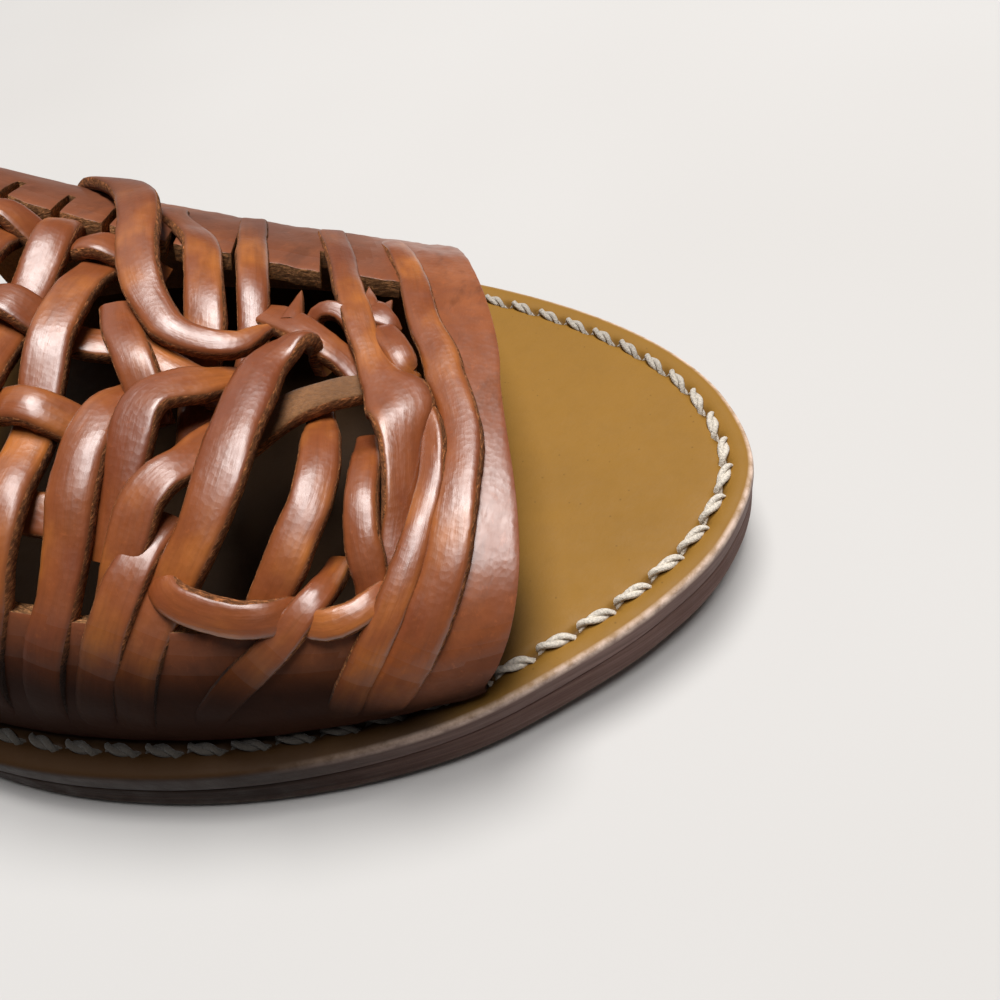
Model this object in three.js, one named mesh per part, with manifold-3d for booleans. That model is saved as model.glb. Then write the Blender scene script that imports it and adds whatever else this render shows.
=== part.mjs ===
// A left huarache sandal: an open-toed upper of plain leather frame and woven leather strips, on a
// stitched leather sole with a low stacked heel, closed behind by a plain heel strap.
// Millimetres. +X points from heel to toe, +Y to the outer side of the foot, +Z up from the floor.
import * as THREE from "three";
import { mergeVertices } from "three/addons/utils/BufferGeometryUtils.js";
import Module from "manifold-3d";

const wasm = await Module();
wasm.setup();

// ---- driving dimensions -------------------------------------------------------------------
const SOLE_LENGTH = 255;
const OUTSOLE_THICK = 4.7;
const INSOLE_THICK = 3.2;
const GAP = 0.3; // between pieces that are cemented together
const HEEL_RISE = 13.5; // floor to the underside of the outsole at the heel
const LIFT_THICK = 3.3;
const HEEL_BREAST_X = -66; // front face of the heel
const SHANK_END_X = 18; // the sole meets the floor from here forward
const SPRING_START_X = 74; // and leaves it again from here
const TOE_SPRING = 3.5;
const EDGE_ROUND = 0.7; // worn corner of each sole layer
const UPPER_THICK = 2.2;
const STRIP_WIDTH = 5;
const STRIP_THICK = 2;
const STRAP_THICK = 2.4;
const SLOT_INSET = 5.8; // from the sole's edge to the middle of the upper's wall in its slot
const SLOT_DEPTH = 2.3;
const SLOT_TURN = 0.4; // height over the insole at which the wall turns into its slot
const STACK_INSET = 0.8; // the heel's layers step in from the sole's edge
const LIFT_INSET = 1.0;
const TAN = 0xb98a4a;
const CHESTNUT = 0x8a4a2a;
const DARK_BROWN = 0x4a2a1a;
const BLACK_RUBBER = 0x1c1512;

// Half the sole's outline each way round, from the back of the heel to the tip of the toe.
const OUTER_EDGE = [
  { x: -127.5, y: 0 }, { x: -120, y: 17.5 }, { x: -100, y: 28 }, { x: -70, y: 31 },
  { x: -32, y: 32.5 }, { x: 5, y: 39 }, { x: 34, y: 43.3 }, { x: 62.8, y: 41.2 },
  { x: 85.2, y: 36.3 }, { x: 104.9, y: 27.2 }, { x: 117.5, y: 17.5 }, { x: 124.2, y: 8.6 },
];
const INNER_EDGE = [
  { x: 127.5, y: -2.4 }, { x: 124.5, y: -12.9 }, { x: 117.9, y: -21.1 }, { x: 109.7, y: -27.8 },
  { x: 98.8, y: -34.8 }, { x: 83, y: -40.6 }, { x: 66.5, y: -43.6 }, { x: 48, y: -43.6 },
  { x: 22, y: -38 }, { x: -8, y: -30 }, { x: -38, y: -27 }, { x: -70, y: -29 },
  { x: -100, y: -27.6 }, { x: -120, y: -17 },
];

// ---- small tools --------------------------------------------------------------------------
const clamp01 = (t) => Math.min(1, Math.max(0, t));
const smooth = (t) => clamp01(t) ** 2 * (3 - 2 * clamp01(t));
const mix = THREE.MathUtils.lerp;
const vec = (x, y, z) => new THREE.Vector3(x, y, z);
const MERGE_DISTANCE = 1e-4;

// Value of one named column at place t, on a smooth curve through the rows of a table.
function column(rows, name, t) {
  const last = rows.length - 1;
  const k = Math.min(last - 1, Math.max(0, rows.findIndex((row) => row.at > t) - 1));
  const i = t >= rows[last].at ? last - 1 : k;
  const span = rows[i + 1].at - rows[i].at;
  const s = (t - rows[i].at) / span;
  const slope = (a, b) => ((rows[b][name] - rows[a][name]) / (rows[b].at - rows[a].at)) * span;
  const m0 = slope(Math.max(0, i - 1), i + 1);
  const m1 = slope(i, Math.min(last, i + 2));
  const rise = rows[i + 1][name] - rows[i][name];
  return rows[i][name] + s * (m0 + s * (3 * rise - 2 * m0 - m1 + s * (m0 + m1 - 2 * rise)));
}

function solid(positions, triangles) {
  const geometry = new THREE.BufferGeometry();
  geometry.setAttribute("position", new THREE.Float32BufferAttribute(positions, 3));
  geometry.setIndex(triangles);
  return fromGeometry(geometry);
}

function fromGeometry(geometry) {
  geometry.deleteAttribute("normal");
  geometry.deleteAttribute("uv");
  const merged = mergeVertices(geometry, MERGE_DISTANCE);
  return new wasm.Manifold(new wasm.Mesh({
    numProp: 3,
    vertProperties: new Float32Array(merged.attributes.position.array),
    triVerts: new Uint32Array(merged.index.array),
  }));
}

function toGeometry(manifold) {
  const mesh = manifold.getMesh();
  const geometry = new THREE.BufferGeometry();
  geometry.setAttribute("position", new THREE.BufferAttribute(mesh.vertProperties, 3));
  geometry.setIndex(new THREE.BufferAttribute(mesh.triVerts, 1));
  geometry.computeVertexNormals();
  return geometry;
}

// A large block that covers everything ahead of x.
function everythingAhead(x) {
  const size = 2 * SOLE_LENGTH;
  return fromGeometry(new THREE.BoxGeometry(size, size, size).translate(x + size / 2, 0, 0));
}

// A wall of even thickness on a grid of surface points. keep(i, j) says which cells are leather.
function thickGrid(points, thick, keep = () => true) {
  const rows = points.length;
  const cols = points[0].length;
  const at = (i, j) => points[Math.min(rows - 1, Math.max(0, i))][Math.min(cols - 1, Math.max(0, j))];
  const positions = [];
  for (const side of [0.5, -0.5]) {
    for (let i = 0; i < rows; i++) {
      for (let j = 0; j < cols; j++) {
        const along = at(i + 1, j).clone().sub(at(i - 1, j));
        const across = at(i, j + 1).clone().sub(at(i, j - 1));
        const out = along.cross(across).normalize().multiplyScalar(side * thick);
        positions.push(...at(i, j).clone().add(out).toArray());
      }
    }
  }
  const top = (i, j) => i * cols + j;
  const under = (i, j) => rows * cols + top(i, j);
  const triangles = [];
  const quad = (a, b, c, d) => triangles.push(a, b, c, a, c, d);
  const used = (i, j) => i >= 0 && j >= 0 && i < rows - 1 && j < cols - 1 && keep(i, j);
  for (let i = 0; i < rows - 1; i++) {
    for (let j = 0; j < cols - 1; j++) {
      if (!used(i, j)) continue;
      quad(top(i, j), top(i + 1, j), top(i + 1, j + 1), top(i, j + 1));
      quad(under(i, j), under(i, j + 1), under(i + 1, j + 1), under(i + 1, j));
      if (!used(i, j - 1)) quad(top(i + 1, j), top(i, j), under(i, j), under(i + 1, j));
      if (!used(i, j + 1)) quad(top(i, j + 1), top(i + 1, j + 1), under(i + 1, j + 1), under(i, j + 1));
      if (!used(i - 1, j)) quad(top(i, j), top(i, j + 1), under(i, j + 1), under(i, j));
      if (!used(i + 1, j)) quad(top(i + 1, j + 1), top(i + 1, j), under(i + 1, j), under(i + 1, j + 1));
    }
  }
  return solid(positions, triangles);
}

// ---- the sole -----------------------------------------------------------------------------
const SIDE_STEPS = 44; // outline points from heel to toe on each side
const FINE_STEPS = 900; // points of the outline used to look up its width
const outline = new THREE.CatmullRomCurve3(
  [...OUTER_EDGE, ...INNER_EDGE].map((p) => vec(p.x, p.y, 0)), true, "centripetal");
const finePoints = outline.getPoints(FINE_STEPS);
const toeIndex = finePoints.reduce((best, p, i) => (p.x > finePoints[best].x ? i : best), 0);
const outerPoints = finePoints.slice(0, toeIndex + 1);
const innerPoints = finePoints.slice(toeIndex);

// y of the sole's edge at x, on the outer (1) or inner (-1) side.
function edgeY(x, side) {
  const points = side > 0 ? outerPoints : innerPoints;
  const i = points.findIndex((p, k) => k > 0 && (p.x - x) * (points[k - 1].x - x) <= 0);
  const [a, b] = [points[i - 1], points[i]];
  return mix(a.y, b.y, (x - a.x) / (b.x - a.x));
}

// Underside of the outsole: heel seat, shank, flat tread, toe spring.
function treadZ(x) {
  const shank = HEEL_RISE * (1 - smooth((x - HEEL_BREAST_X) / (SHANK_END_X - HEEL_BREAST_X)));
  const spring = clamp01((x - SPRING_START_X) / (SOLE_LENGTH / 2 - SPRING_START_X));
  return shank + TOE_SPRING * spring ** 2;
}
const insoleTopZ = (x) => treadZ(x) + OUTSOLE_THICK + GAP + INSOLE_THICK;

// Points round the outline, from the heel up the outer side to the toe and back, set in by inset.
function outlineRing(inset) {
  const ring = [];
  for (let k = 0; k < 2 * SIDE_STEPS; k++) {
    const t = k / (2 * SIDE_STEPS);
    const p = outline.getPointAt(t);
    const tangent = outline.getTangentAt(t);
    ring.push(vec(p.x + tangent.y * inset, p.y - tangent.x * inset, 0));
  }
  return ring;
}

// A layer with the sole's outline between two heights, with rounded edges.
function layer(lowZ, highZ, inset = 0) {
  const profile = [
    { inset: inset + EDGE_ROUND, height: lowZ, lift: 0 },
    { inset, height: lowZ, lift: EDGE_ROUND },
    { inset, height: highZ, lift: -EDGE_ROUND },
    { inset: inset + EDGE_ROUND, height: highZ, lift: 0 },
  ];
  const n = 2 * SIDE_STEPS;
  const positions = [];
  for (const step of profile) {
    for (const p of outlineRing(step.inset)) positions.push(p.x, p.y, step.height(p.x) + step.lift);
  }
  const triangles = [];
  for (let s = 0; s < profile.length - 1; s++) {
    for (let k = 0; k < n; k++) {
      const a = s * n + k;
      const b = s * n + ((k + 1) % n);
      triangles.push(a, a + n, b + n, a, b + n, b);
    }
  }
  const topStart = (profile.length - 1) * n;
  for (let k = 0; k < SIDE_STEPS; k++) {
    const other = (i) => (n - i) % n;
    for (const [start, flip] of [[0, false], [topStart, true]]) {
      const [a, b, c, d] = [k, k + 1, other(k + 1), other(k)].map((i) => start + (i % n));
      const faces = [[a, b, c], [a, c, d]].filter((f) => new Set(f).size === 3);
      for (const f of faces) triangles.push(...(flip ? f.toReversed() : f));
    }
  }
  return solid(positions, triangles);
}

// ---- the upper ----------------------------------------------------------------------------
// Sections across the vamp, from its front edge (at 0) to the instep (at 1). outerX and innerX are
// where a section meets the sole, bow how far its crest runs ahead of that, height its top over the
// insole, lean how far its foot is set in from the sole's edge.
const VAMP = [
  { at: 0.0, outerX: 83.5, innerX: 101.4, bow: 9.8, height: 16, lean: 2.6 },
  { at: 0.15, outerX: 74.5, innerX: 89.5, bow: 9.6, height: 18.6, lean: 3.8 },
  { at: 0.4, outerX: 56, innerX: 67, bow: 9.6, height: 23.5, lean: 4.8 },
  { at: 0.7, outerX: 32, innerX: 41, bow: 11, height: 32, lean: 5 },
  { at: 1.0, outerX: 7, innerX: 15, bow: 14, height: 46, lean: 5 },
];
const SQUARENESS = 0.82; // 1 is an elliptical section; less is squarer at the shoulders
const CREST_SKEW = 4; // the crest lies this far towards the inner side
const BOW_SKEW = 1.6; // and the section's most forward place further still
const BOW_SHARPNESS = 1.2; // how closely the bow gathers round its most forward place
const FOOT_RISE = 1.6; // height over the insole at which the wall starts to bulge
const NORMAL_STEP = 0.004; // step in u and v for the surface's direction

function vampPoint(u, v) {
  const row = (name) => column(VAMP, name, u);
  const up = Math.sin(Math.PI * v);
  const out = Math.cos(Math.PI * v);
  const footX = mix(row("outerX"), row("innerX"), v);
  const forward = Math.max(0, Math.sin(Math.PI * v ** BOW_SKEW)) ** BOW_SHARPNESS;
  const outerY = edgeY(row("outerX"), 1) - row("lean");
  const innerY = edgeY(row("innerX"), -1) + row("lean");
  const reach = ((outerY - innerY) / 2) * Math.sign(out) * Math.abs(out) ** SQUARENESS;
  const rise = (row("height") - FOOT_RISE) * Math.max(0, up) ** SQUARENESS;
  const y = (outerY + innerY) / 2 + reach - CREST_SKEW * up;
  return vec(footX + row("bow") * forward, y, insoleTopZ(footX) + FOOT_RISE + rise);
}

// The wall's foot: it turns in to the slot in the insole and runs down into it.
function slotPoint(u, side, depth) {
  const x = column(VAMP, side > 0 ? "outerX" : "innerX", u);
  return vec(x, edgeY(x, side) - side * SLOT_INSET, insoleTopZ(x) - depth);
}

// The frame is plain leather round one opening that the strips fill. band and slot columns are
// counts of grid lines; the front band narrows from its ends to its crown.
const FRAME = { rows: 24, frontRows: 2, backRows: 3, cols: 28, outerCols: 8, innerCols: 6 };
const BAND = { frontEnd: 0.16, frontCrown: 0.105, back: 0.89, outer: 0.37, inner: 0.79 };

// Place of grid line k of n, spread so that lines fall on both edges of the opening.
function gridPlace(k, n, low, high, lowCount, highCount) {
  if (k <= lowCount) return (low * k) / lowCount;
  if (k >= n - highCount) return 1 - ((1 - high) * (n - k)) / highCount;
  return mix(low, high, (k - lowCount) / (n - lowCount - highCount));
}

// endGap widens the wall at its two ends, for the slot it stands in.
function frame(thick, depth, endGap = 0) {
  const f = FRAME;
  const grid = [];
  for (let i = 0; i <= f.rows; i++) {
    const place = (front) => gridPlace(i, f.rows, front, BAND.back, f.frontRows, f.backRows);
    const footU = place(BAND.frontEnd);
    const row = [slotPoint(footU, 1, depth), slotPoint(footU, 1, -SLOT_TURN)];
    for (let j = 0; j <= f.cols; j++) {
      const v = gridPlace(j, f.cols, BAND.outer, BAND.inner, f.outerCols, f.innerCols);
      row.push(vampPoint(place(mix(BAND.frontEnd, BAND.frontCrown, Math.sin(Math.PI * v))), v));
    }
    row.push(slotPoint(footU, -1, -SLOT_TURN), slotPoint(footU, -1, depth));
    const end = (i === 0) - (i === f.rows);
    grid.push(row.map((p) => p.add(vec(end * endGap, 0, 0))));
  }
  const inRows = (i) => i >= f.frontRows && i < f.rows - f.backRows;
  const inCols = (j) => j >= 2 + f.outerCols && j < 2 + f.cols - f.innerCols;
  return thickGrid(grid, thick, (i, j) => !(inRows(i) && inCols(j)));
}

// Woven strips. Each runs over the vamp from one place to the other, bowed by bow along the foot;
// over is the height of its waves above and below the vamp's surface, waves how many it has. Each
// end is buried in the frame, END_SHARE of the strip's length long and END_HEIGHT over its middle.
const END_SHARE = 1 / 6;
const END_HEIGHT = 1.2;
const STEPS_AT_ENDS = 6;
const STEPS_A_WAVE = 2;
const STRIPS = [
  { name: "front", fromU: 0.17, fromV: 0.3, toU: 0.16, toV: 0.85, bow: -0.02, over: 0.3, waves: 1 },
  { name: "cross 1", fromU: 0.2, fromV: 0.31, toU: 0.27, toV: 0.84, bow: 0.02, over: 0.8, waves: 4 },
  { name: "cross 2", fromU: 0.28, fromV: 0.31, toU: 0.36, toV: 0.84, bow: 0.02, over: -0.8, waves: 4 },
  { name: "cross 3", fromU: 0.4, fromV: 0.31, toU: 0.46, toV: 0.84, bow: 0.02, over: 0.8, waves: 4 },
  { name: "cross 4", fromU: 0.52, fromV: 0.31, toU: 0.56, toV: 0.84, bow: 0, over: -0.8, waves: 4 },
  { name: "cross 5", fromU: 0.63, fromV: 0.31, toU: 0.66, toV: 0.84, bow: 0, over: 0.8, waves: 4 },
  { name: "cross 6", fromU: 0.73, fromV: 0.31, toU: 0.75, toV: 0.84, bow: 0, over: -0.8, waves: 4 },
  { name: "cross 7", fromU: 0.83, fromV: 0.31, toU: 0.84, toV: 0.84, bow: 0, over: 0.8, waves: 4 },
  { name: "long 1", fromU: 0.06, fromV: 0.42, toU: 0.93, toV: 0.39, bow: 0, over: 0.8, waves: 8 },
  { name: "long 2", fromU: 0.06, fromV: 0.54, toU: 0.93, toV: 0.5, bow: 0, over: -0.8, waves: 8 },
  { name: "long 3", fromU: 0.06, fromV: 0.66, toU: 0.93, toV: 0.62, bow: 0, over: 0.8, waves: 8 },
  { name: "slant 1", fromU: 0.06, fromV: 0.48, toU: 0.44, toV: 0.84, bow: 0.02, over: -0.8, waves: 3 },
  { name: "slant 2", fromU: 0.46, fromV: 0.31, toU: 0.06, toV: 0.6, bow: 0.02, over: 0.8, waves: 3 },
];

function surfaceNormal(u, v) {
  const at = (du, dv) => vampPoint(clamp01(u + du * NORMAL_STEP), clamp01(v + dv * NORMAL_STEP));
  return at(1, 0).sub(at(-1, 0)).cross(at(0, 1).sub(at(0, -1))).normalize();
}

function strip(row) {
  const steps = STEPS_AT_ENDS + STEPS_A_WAVE * row.waves;
  const centre = [];
  const normals = [];
  for (let k = 0; k <= steps; k++) {
    const t = k / steps;
    const u = mix(row.fromU, row.toU, t) + row.bow * Math.sin(Math.PI * t);
    const v = mix(row.fromV, row.toV, t);
    const out = surfaceNormal(u, v);
    const inField = Math.min(1, Math.min(t, 1 - t) / END_SHARE);
    const wave = row.over * Math.sin(Math.PI * row.waves * t);
    centre.push(vampPoint(u, v).addScaledVector(out, mix(END_HEIGHT, wave, inField)));
    normals.push(out);
  }
  const grid = centre.map((p, k) => {
    const ahead = centre[Math.min(steps, k + 1)].clone().sub(centre[Math.max(0, k - 1)]);
    const side = ahead.cross(normals[k]).normalize().multiplyScalar(STRIP_WIDTH / 2);
    return [p.clone().sub(side), p.clone().add(side)];
  });
  return thickGrid(grid, STRIP_THICK);
}

function upper() {
  let made = frame(UPPER_THICK, SLOT_DEPTH);
  for (const row of STRIPS) made = made.add(strip(row));
  return made;
}

// ---- the heel strap -----------------------------------------------------------------------
// The strap's two edges, from its slot in the insole to the back of the heel, the same on each side.
// top and low are places along the sole's outline (0 is the back of the heel), topZ and lowZ heights
// over the insole there, inset the distance in from the sole's edge.
const STRAP = [
  { at: 0, top: 0.25, low: 0.219, topZ: -SLOT_DEPTH, lowZ: -SLOT_DEPTH, inset: 5.8 },
  { at: 0.04, top: 0.25, low: 0.219, topZ: 1.2, lowZ: 1.2, inset: 5.8 },
  { at: 0.2, top: 0.236, low: 0.203, topZ: 17, lowZ: 11, inset: 4.6 },
  { at: 0.4, top: 0.19, low: 0.165, topZ: 39, lowZ: 25, inset: 4.6 },
  { at: 0.6, top: 0.128, low: 0.114, topZ: 54, lowZ: 37, inset: 5 },
  { at: 0.8, top: 0.062, low: 0.056, topZ: 61, lowZ: 42.5, inset: 5 },
  { at: 1, top: 0, low: 0, topZ: 62, lowZ: 43, inset: 4.5 },
];
const STRAP_STEPS = 26; // from each slot to the back of the heel
const SLOT_WIDENING = 0.38; // a strap's slot is this much longer at each end than the strap

// widen is added to the strap's width at both edges, as a share of the outline.
function strapEdge(s, side, edge, widen) {
  const t = side * (column(STRAP, edge, s) + (edge === "top" ? widen : -widen));
  const p = outline.getPointAt((t + 1) % 1);
  const tangent = outline.getTangentAt((t + 1) % 1);
  const inset = column(STRAP, "inset", s);
  const height = insoleTopZ(p.x) + column(STRAP, edge + "Z", s);
  return vec(p.x + tangent.y * inset, p.y - tangent.x * inset, height);
}

function heelStrap(thick, widen = 0, deeper = 0) {
  const grid = [];
  for (let k = -STRAP_STEPS; k <= STRAP_STEPS; k++) {
    const side = k < 0 ? 1 : -1;
    const s = 1 - Math.abs(k) / STRAP_STEPS;
    const top = strapEdge(s, side, "top", widen);
    const low = strapEdge(s, side, "low", widen);
    const drop = s === 0 ? deeper : 0;
    grid.push([0, 0.5, 1].map((w) => top.clone().lerp(low, w).sub(vec(0, 0, drop))));
  }
  return thickGrid(grid, thick);
}

// ---- the sandal ---------------------------------------------------------------------------
const meshes = [];
function node(name, manifold, color, roughness) {
  const material = new THREE.MeshStandardMaterial({ color, roughness, metalness: 0 });
  const mesh = new THREE.Mesh(toGeometry(manifold), material);
  mesh.name = name;
  meshes.push(mesh);
}

const insoleLow = (x) => treadZ(x) + OUTSOLE_THICK + GAP;
const slots = frame(UPPER_THICK + 2 * GAP, SLOT_DEPTH + GAP, GAP)
  .add(heelStrap(STRAP_THICK + 2 * GAP, SLOT_WIDENING / outline.getLength(), GAP));
const aheadOfBreast = everythingAhead(HEEL_BREAST_X);
const heelLayer = (low, high, inset) => layer(() => low, () => high, inset).subtract(aheadOfBreast);
node("insole", layer(insoleLow, insoleTopZ).subtract(slots), TAN, 0.6);
node("outsole", layer(treadZ, (x) => treadZ(x) + OUTSOLE_THICK), DARK_BROWN, 0.5);
node("heel_stack", heelLayer(LIFT_THICK + GAP, HEEL_RISE - GAP, STACK_INSET), DARK_BROWN, 0.5);
node("heel_lift", heelLayer(0, LIFT_THICK, LIFT_INSET), BLACK_RUBBER, 0.8);
node("upper", upper(), CHESTNUT, 0.45);
node("heel_strap", heelStrap(STRAP_THICK), CHESTNUT, 0.45);

const sandal = new THREE.Group();
sandal.name = "huarache_sandal";
sandal.add(...meshes);

// The origin is the middle of the sandal in plan, on the floor.
const bounds = new THREE.Box3().setFromObject(sandal);
const centre = bounds.getCenter(new THREE.Vector3());
sandal.position.set(-centre.x, -centre.y, -bounds.min.z);

export default sandal;
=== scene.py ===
import math

import bmesh
import bpy
from mathutils import Matrix, Vector, noise


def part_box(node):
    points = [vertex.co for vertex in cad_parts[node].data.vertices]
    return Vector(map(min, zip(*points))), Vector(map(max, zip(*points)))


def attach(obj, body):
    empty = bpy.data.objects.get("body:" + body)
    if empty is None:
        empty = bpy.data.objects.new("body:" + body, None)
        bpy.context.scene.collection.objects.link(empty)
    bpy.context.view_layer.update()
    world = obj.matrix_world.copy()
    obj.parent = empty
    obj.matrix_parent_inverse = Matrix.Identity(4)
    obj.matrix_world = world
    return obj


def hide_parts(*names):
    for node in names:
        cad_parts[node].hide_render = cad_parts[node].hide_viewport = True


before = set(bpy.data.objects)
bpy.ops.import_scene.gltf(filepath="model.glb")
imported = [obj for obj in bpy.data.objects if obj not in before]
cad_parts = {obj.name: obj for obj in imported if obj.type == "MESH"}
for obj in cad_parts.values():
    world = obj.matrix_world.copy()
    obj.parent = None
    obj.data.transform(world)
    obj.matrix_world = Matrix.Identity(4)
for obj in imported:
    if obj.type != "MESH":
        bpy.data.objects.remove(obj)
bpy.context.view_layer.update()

bl_info = {
    "name": "Huarache sandal",
    "version": (1, 0, 0),
    "blender": (4, 5, 0),
    "location": "View3D > Sidebar > Sandal",
    "description": "A left huarache sandal: woven leather upper on a stitched leather sole",
    "category": "Mesh",
}

MM = 0.001  # the tables and functions below work in millimetres

# ---- the shoe's own sizes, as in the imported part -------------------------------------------
OUTSOLE_THICK = 4.7
INSOLE_THICK = 3.2
GAP = 0.3
HEEL_RISE = 13.5
LIFT_THICK = 3.3
HEEL_BREAST_X = -66
STACK_INSET = 0.8
STACK_LAYERS = 3
LIFT_INSET = 1.0
SHANK_END_X = 18
SPRING_START_X = 74
TOE_X = 127.5
TOE_SPRING = 3.5
SLOT_INSET = 5.8
CREST_SKEW = 4
BOW_SKEW = 1.6
FOOT_RISE = 1.6
SQUARENESS = 0.82
BOW_POWER = 1.2
FINE_STEPS = 2600  # points round the sole's outline

OUTER_EDGE = [
    (-127.5, 0), (-120, 17.5), (-100, 28), (-70, 31), (-32, 32.5), (5, 39), (34, 43.3),
    (62.8, 41.2), (85.2, 36.3), (104.9, 27.2), (117.5, 17.5), (124.2, 8.6),
]
INNER_EDGE = [
    (127.5, -2.4), (124.5, -12.9), (117.9, -21.1), (109.7, -27.8), (98.8, -34.8), (83, -40.6),
    (66.5, -43.6), (48, -43.6), (22, -38), (-8, -30), (-38, -27), (-70, -29), (-100, -27.6),
    (-120, -17),
]
VAMP_COLUMNS = ("at", "outer_x", "inner_x", "bow", "height", "lean")
VAMP = [dict(zip(VAMP_COLUMNS, row)) for row in (
    (0.0, 83.5, 101.4, 9.8, 16.0, 2.6),
    (0.15, 74.5, 89.5, 9.6, 18.6, 3.8),
    (0.4, 56.0, 67.0, 9.6, 23.5, 4.8),
    (0.7, 32.0, 41.0, 11.0, 32.0, 5.0),
    (1.0, 7.0, 15.0, 14.0, 46.0, 5.0),
)]
STRAP_COLUMNS = ("at", "top", "low", "top_z", "low_z", "inset")
STRAP = [dict(zip(STRAP_COLUMNS, row)) for row in (
    (0.0, 0.25, 0.219, -2.3, -2.3, 5.8),
    (0.04, 0.25, 0.219, 1.2, 1.2, 5.8),
    (0.2, 0.236, 0.203, 17.0, 11.0, 4.6),
    (0.4, 0.19, 0.165, 39.0, 25.0, 4.6),
    (0.6, 0.128, 0.114, 54.0, 37.0, 5.0),
    (0.8, 0.062, 0.056, 61.0, 42.5, 5.0),
    (1.0, 0.0, 0.0, 62.0, 43.0, 4.5),
)]

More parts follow.
